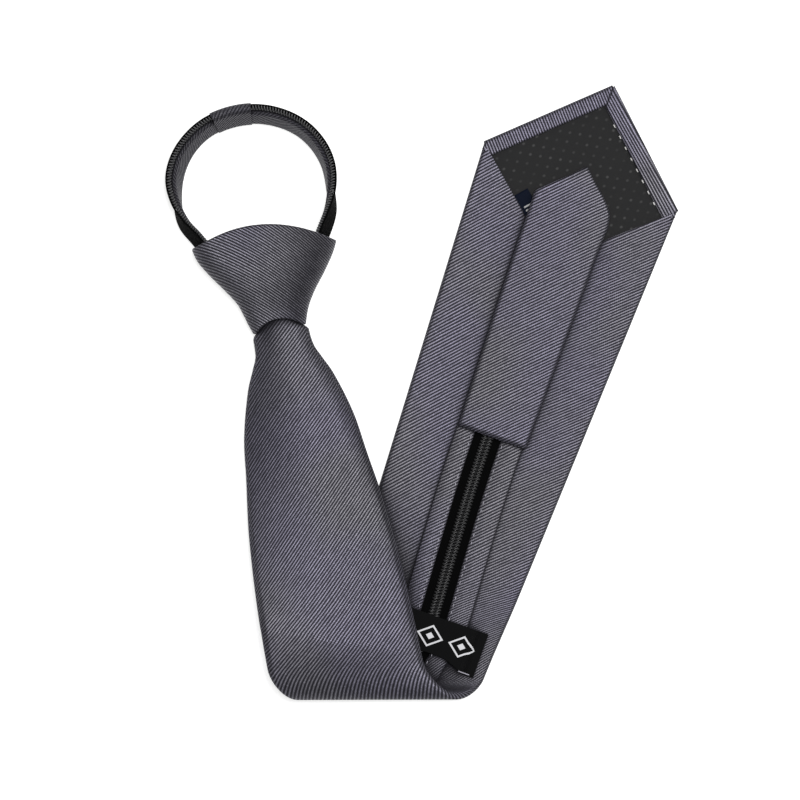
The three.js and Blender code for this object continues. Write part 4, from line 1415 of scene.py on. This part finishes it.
# Where along the strap each turn lies, measured on the strap, for an even pitch of the teeth.
FINE_TURNS = np.linspace(LOOP_TURNS[0, 0], LOOP_TURNS[-1, 0], 2000)
STRAP = np.concatenate([[0], np.cumsum(np.linalg.norm(np.diff(loop_spot(FINE_TURNS), axis=0), axis=1))])


def turn_at(length):
    return np.interp(length, STRAP, FINE_TURNS)


JOIN_LENGTH = float(np.interp(JOIN_TURN, FINE_TURNS, STRAP))
HALVES = {"right": (0.0, JOIN_LENGTH - 0.5), "left": (JOIN_LENGTH + 0.5, STRAP[-1])}


def band_piece(name, length, near, far, low, high, crown=0.0, steps=(12, 6), caps=True):
    """A soft-edged band round the strap, with one section at each length along it."""
    half = np.full_like(length, (high - low) / 2)
    up, out, wrapped = soft_ring(half, far - near, crown, *steps)
    grid = on_band(turn_at(length)[:, None] + 0 * up, near + out, (low + high) / 2 + up)
    rows = np.broadcast_to(length[:, None], up.shape)
    return grid_object(name, grid, np.stack([wrapped, rows], axis=-1), ring=True, caps=caps)


# %% [markdown]
# Each half of the strap is three pieces. The cover and the tape are soft-edged bands, and the
# teeth are one wound thread, as in the strip. A torus for each tooth would look much the same
# from above, but a zip like this has no separate teeth.

# %% Loop covers, tapes and teeth
COIL_HIGH = BAND_HEIGHT - NECK_COIL_RADIUS
COIL_OUT = 0.35
TAPE_NEAR = 1.0
TAPE_FAR = TAPE_NEAR + NECK_TAPE_THICKNESS
COVER_FAR = 0.75
TAPE_HIGH = BAND_HEIGHT - 0.3
COVER_HIGH = COIL_HIGH - 1.5
NECK_PITCH = 1.05
NECK_THREAD = 0.25
BAND_STEP = 0.9


def make_neck_coil(name, span):
    turns = (span[1] - span[0]) / NECK_PITCH
    angle = np.linspace(0, 2 * np.pi * turns, int(turns * TURN_STEPS))
    turn = turn_at(span[0] + NECK_PITCH * (angle + COIL_LIE * np.sin(angle)) / (2 * np.pi))
    reach = NECK_COIL_RADIUS - NECK_THREAD
    path = on_band(turn, COIL_OUT - reach * 0.75 * np.cos(angle), COIL_HIGH + reach * 1.2 * np.sin(angle))
    way = on_band(turn + 0.5, 0 * turn, 0 * turn) - on_band(turn - 0.5, 0 * turn, 0 * turn)
    return tubes(name, [path], NECK_THREAD, [way])


# The neck coil is the same black nylon as the zip coil, painted lighter to stand in for the highlights on
# its teeth.
painted_highlight_nylon = plain("painted highlight nylon", (0.07, 0.07, 0.0728), roughness=0.34)
for side, span in HALVES.items():
    cover, tape, coil = (f"neck_{kind}_{side}" for kind in ("cover", "tape", "coil"))
    length = np.linspace(*span, int((span[1] - span[0]) / BAND_STEP))
    cover_piece = band_piece(cover, length, -BAND_THICKNESS, COVER_FAR, 0.0, COVER_HIGH, 0.1)
    tape_piece = band_piece(tape, length, TAPE_NEAR, TAPE_FAR, TAPE_HIGH - NECK_TAPE_WIDTH, TAPE_HIGH)
    settle(cover_piece, shaded_strap_repp, "grey_repp", cover)
    settle(tape_piece, black_tape, "black_tape", tape)
    settle(make_neck_coil(coil, span), painted_highlight_nylon, "black_nylon", coil)

# %% [markdown]
# The two halves of the strap meet at the back of the neck inside a little sleeve of the same
# cloth, a flattened tube with rounded corners.

# %% Loop sleeve
SLEEVE_ROOM = 0.3
SLEEVE_CLOTH = 0.4
sleeve = band_piece(
    "loop_sleeve", JOIN_LENGTH + np.linspace(-SLEEVE_LENGTH / 2, SLEEVE_LENGTH / 2, 40),
    -BAND_THICKNESS - 0.1, TAPE_FAR + 0.2, -SLEEVE_ROOM, BAND_HEIGHT + SLEEVE_ROOM,
    steps=(20, 12), caps=False)
settle(thicken(sleeve, SLEEVE_CLOTH, 1.0), shaded_strap_repp, "grey_repp", "loop_sleeve")

# %% [markdown]
# ## Table, light and camera
#
# The tie lies on a white light table, whose own glow keeps the shadows thin. A key light from
# above the middle and a weaker, wider fill from the right draw the edges. The camera looks
# straight down and frames 316 mm, so that one of 800 pixels is 0.395 mm.

# %% Table, light and camera
FRAME_MM = 316.0
CAMERA_HEIGHT = 2.0
TABLE_SIZE = 6.0
TABLE_DROP = 0.0002
TABLE_GLOW = 0.62
SKY_GLOW = 0.3
SENSOR_WIDTH = 36.0


def make_table():
    half = TABLE_SIZE / 2
    corners = [(-half, -half, 0), (half, -half, 0), (half, half, 0), (-half, half, 0)]
    mesh = bpy.data.meshes.new("table")
    mesh.from_pydata(corners, [], [(0, 1, 2, 3)])
    table = bpy.data.objects.new("table", mesh)
    bpy.context.scene.collection.objects.link(table)
    table.location.z = -TABLE_DROP
    recipe = Recipe("white table", roughness=0.9, specular=0.0)
    recipe.shader.inputs["Emission Color"].default_value = (1.0, 1.0, 0.995, 1)
    recipe.shader.inputs["Emission Strength"].default_value = TABLE_GLOW
    table.data.materials.append(recipe.finish((0.75, 0.75, 0.745)))
    return table


def area_light(name, place, size, power):
    light = bpy.data.lights.new(name, "AREA")
    light.shape, light.size, light.energy = "SQUARE", size, power
    lamp = bpy.data.objects.new(name, light)
    lamp.location = place
    lamp.rotation_euler = (-Vector(place)).to_track_quat("-Z", "Y").to_euler()
    bpy.context.scene.collection.objects.link(lamp)
    return lamp


make_table()
area_light("key", place=(0.12, 0.2, 1.85), size=0.5, power=23)
area_light("fill", place=(0.7, 0.5, 1.3), size=1.0, power=7)
world = bpy.data.worlds.new("studio")
world.use_nodes = True
sky = world.node_tree.nodes["Background"]
sky.inputs["Color"].default_value = (0.98, 0.99, 1.0, 1)
sky.inputs["Strength"].default_value = SKY_GLOW
bpy.context.scene.world = world

lens = bpy.data.cameras.new("camera")
lens.sensor_width = SENSOR_WIDTH
lens.lens = SENSOR_WIDTH * CAMERA_HEIGHT / (FRAME_MM * MM)
lens.clip_end = 20.0
lens.dof.use_dof = False
camera = bpy.data.objects.new("camera", lens)
camera.location = (SHIFT[0] * MM, SHIFT[1] * MM, CAMERA_HEIGHT)
bpy.context.scene.collection.objects.link(camera)
bpy.context.scene.camera = camera
bpy.context.scene.view_settings.view_transform = "Standard"

# %% [markdown]
# ## How the cloth was cut
#
# The sizes are the pattern's own: the blade is cut twice as wide as it is worn, since it is
# folded round its lining. The tail is padded.

# %% Update the scene
bpy.context.view_layer.update()
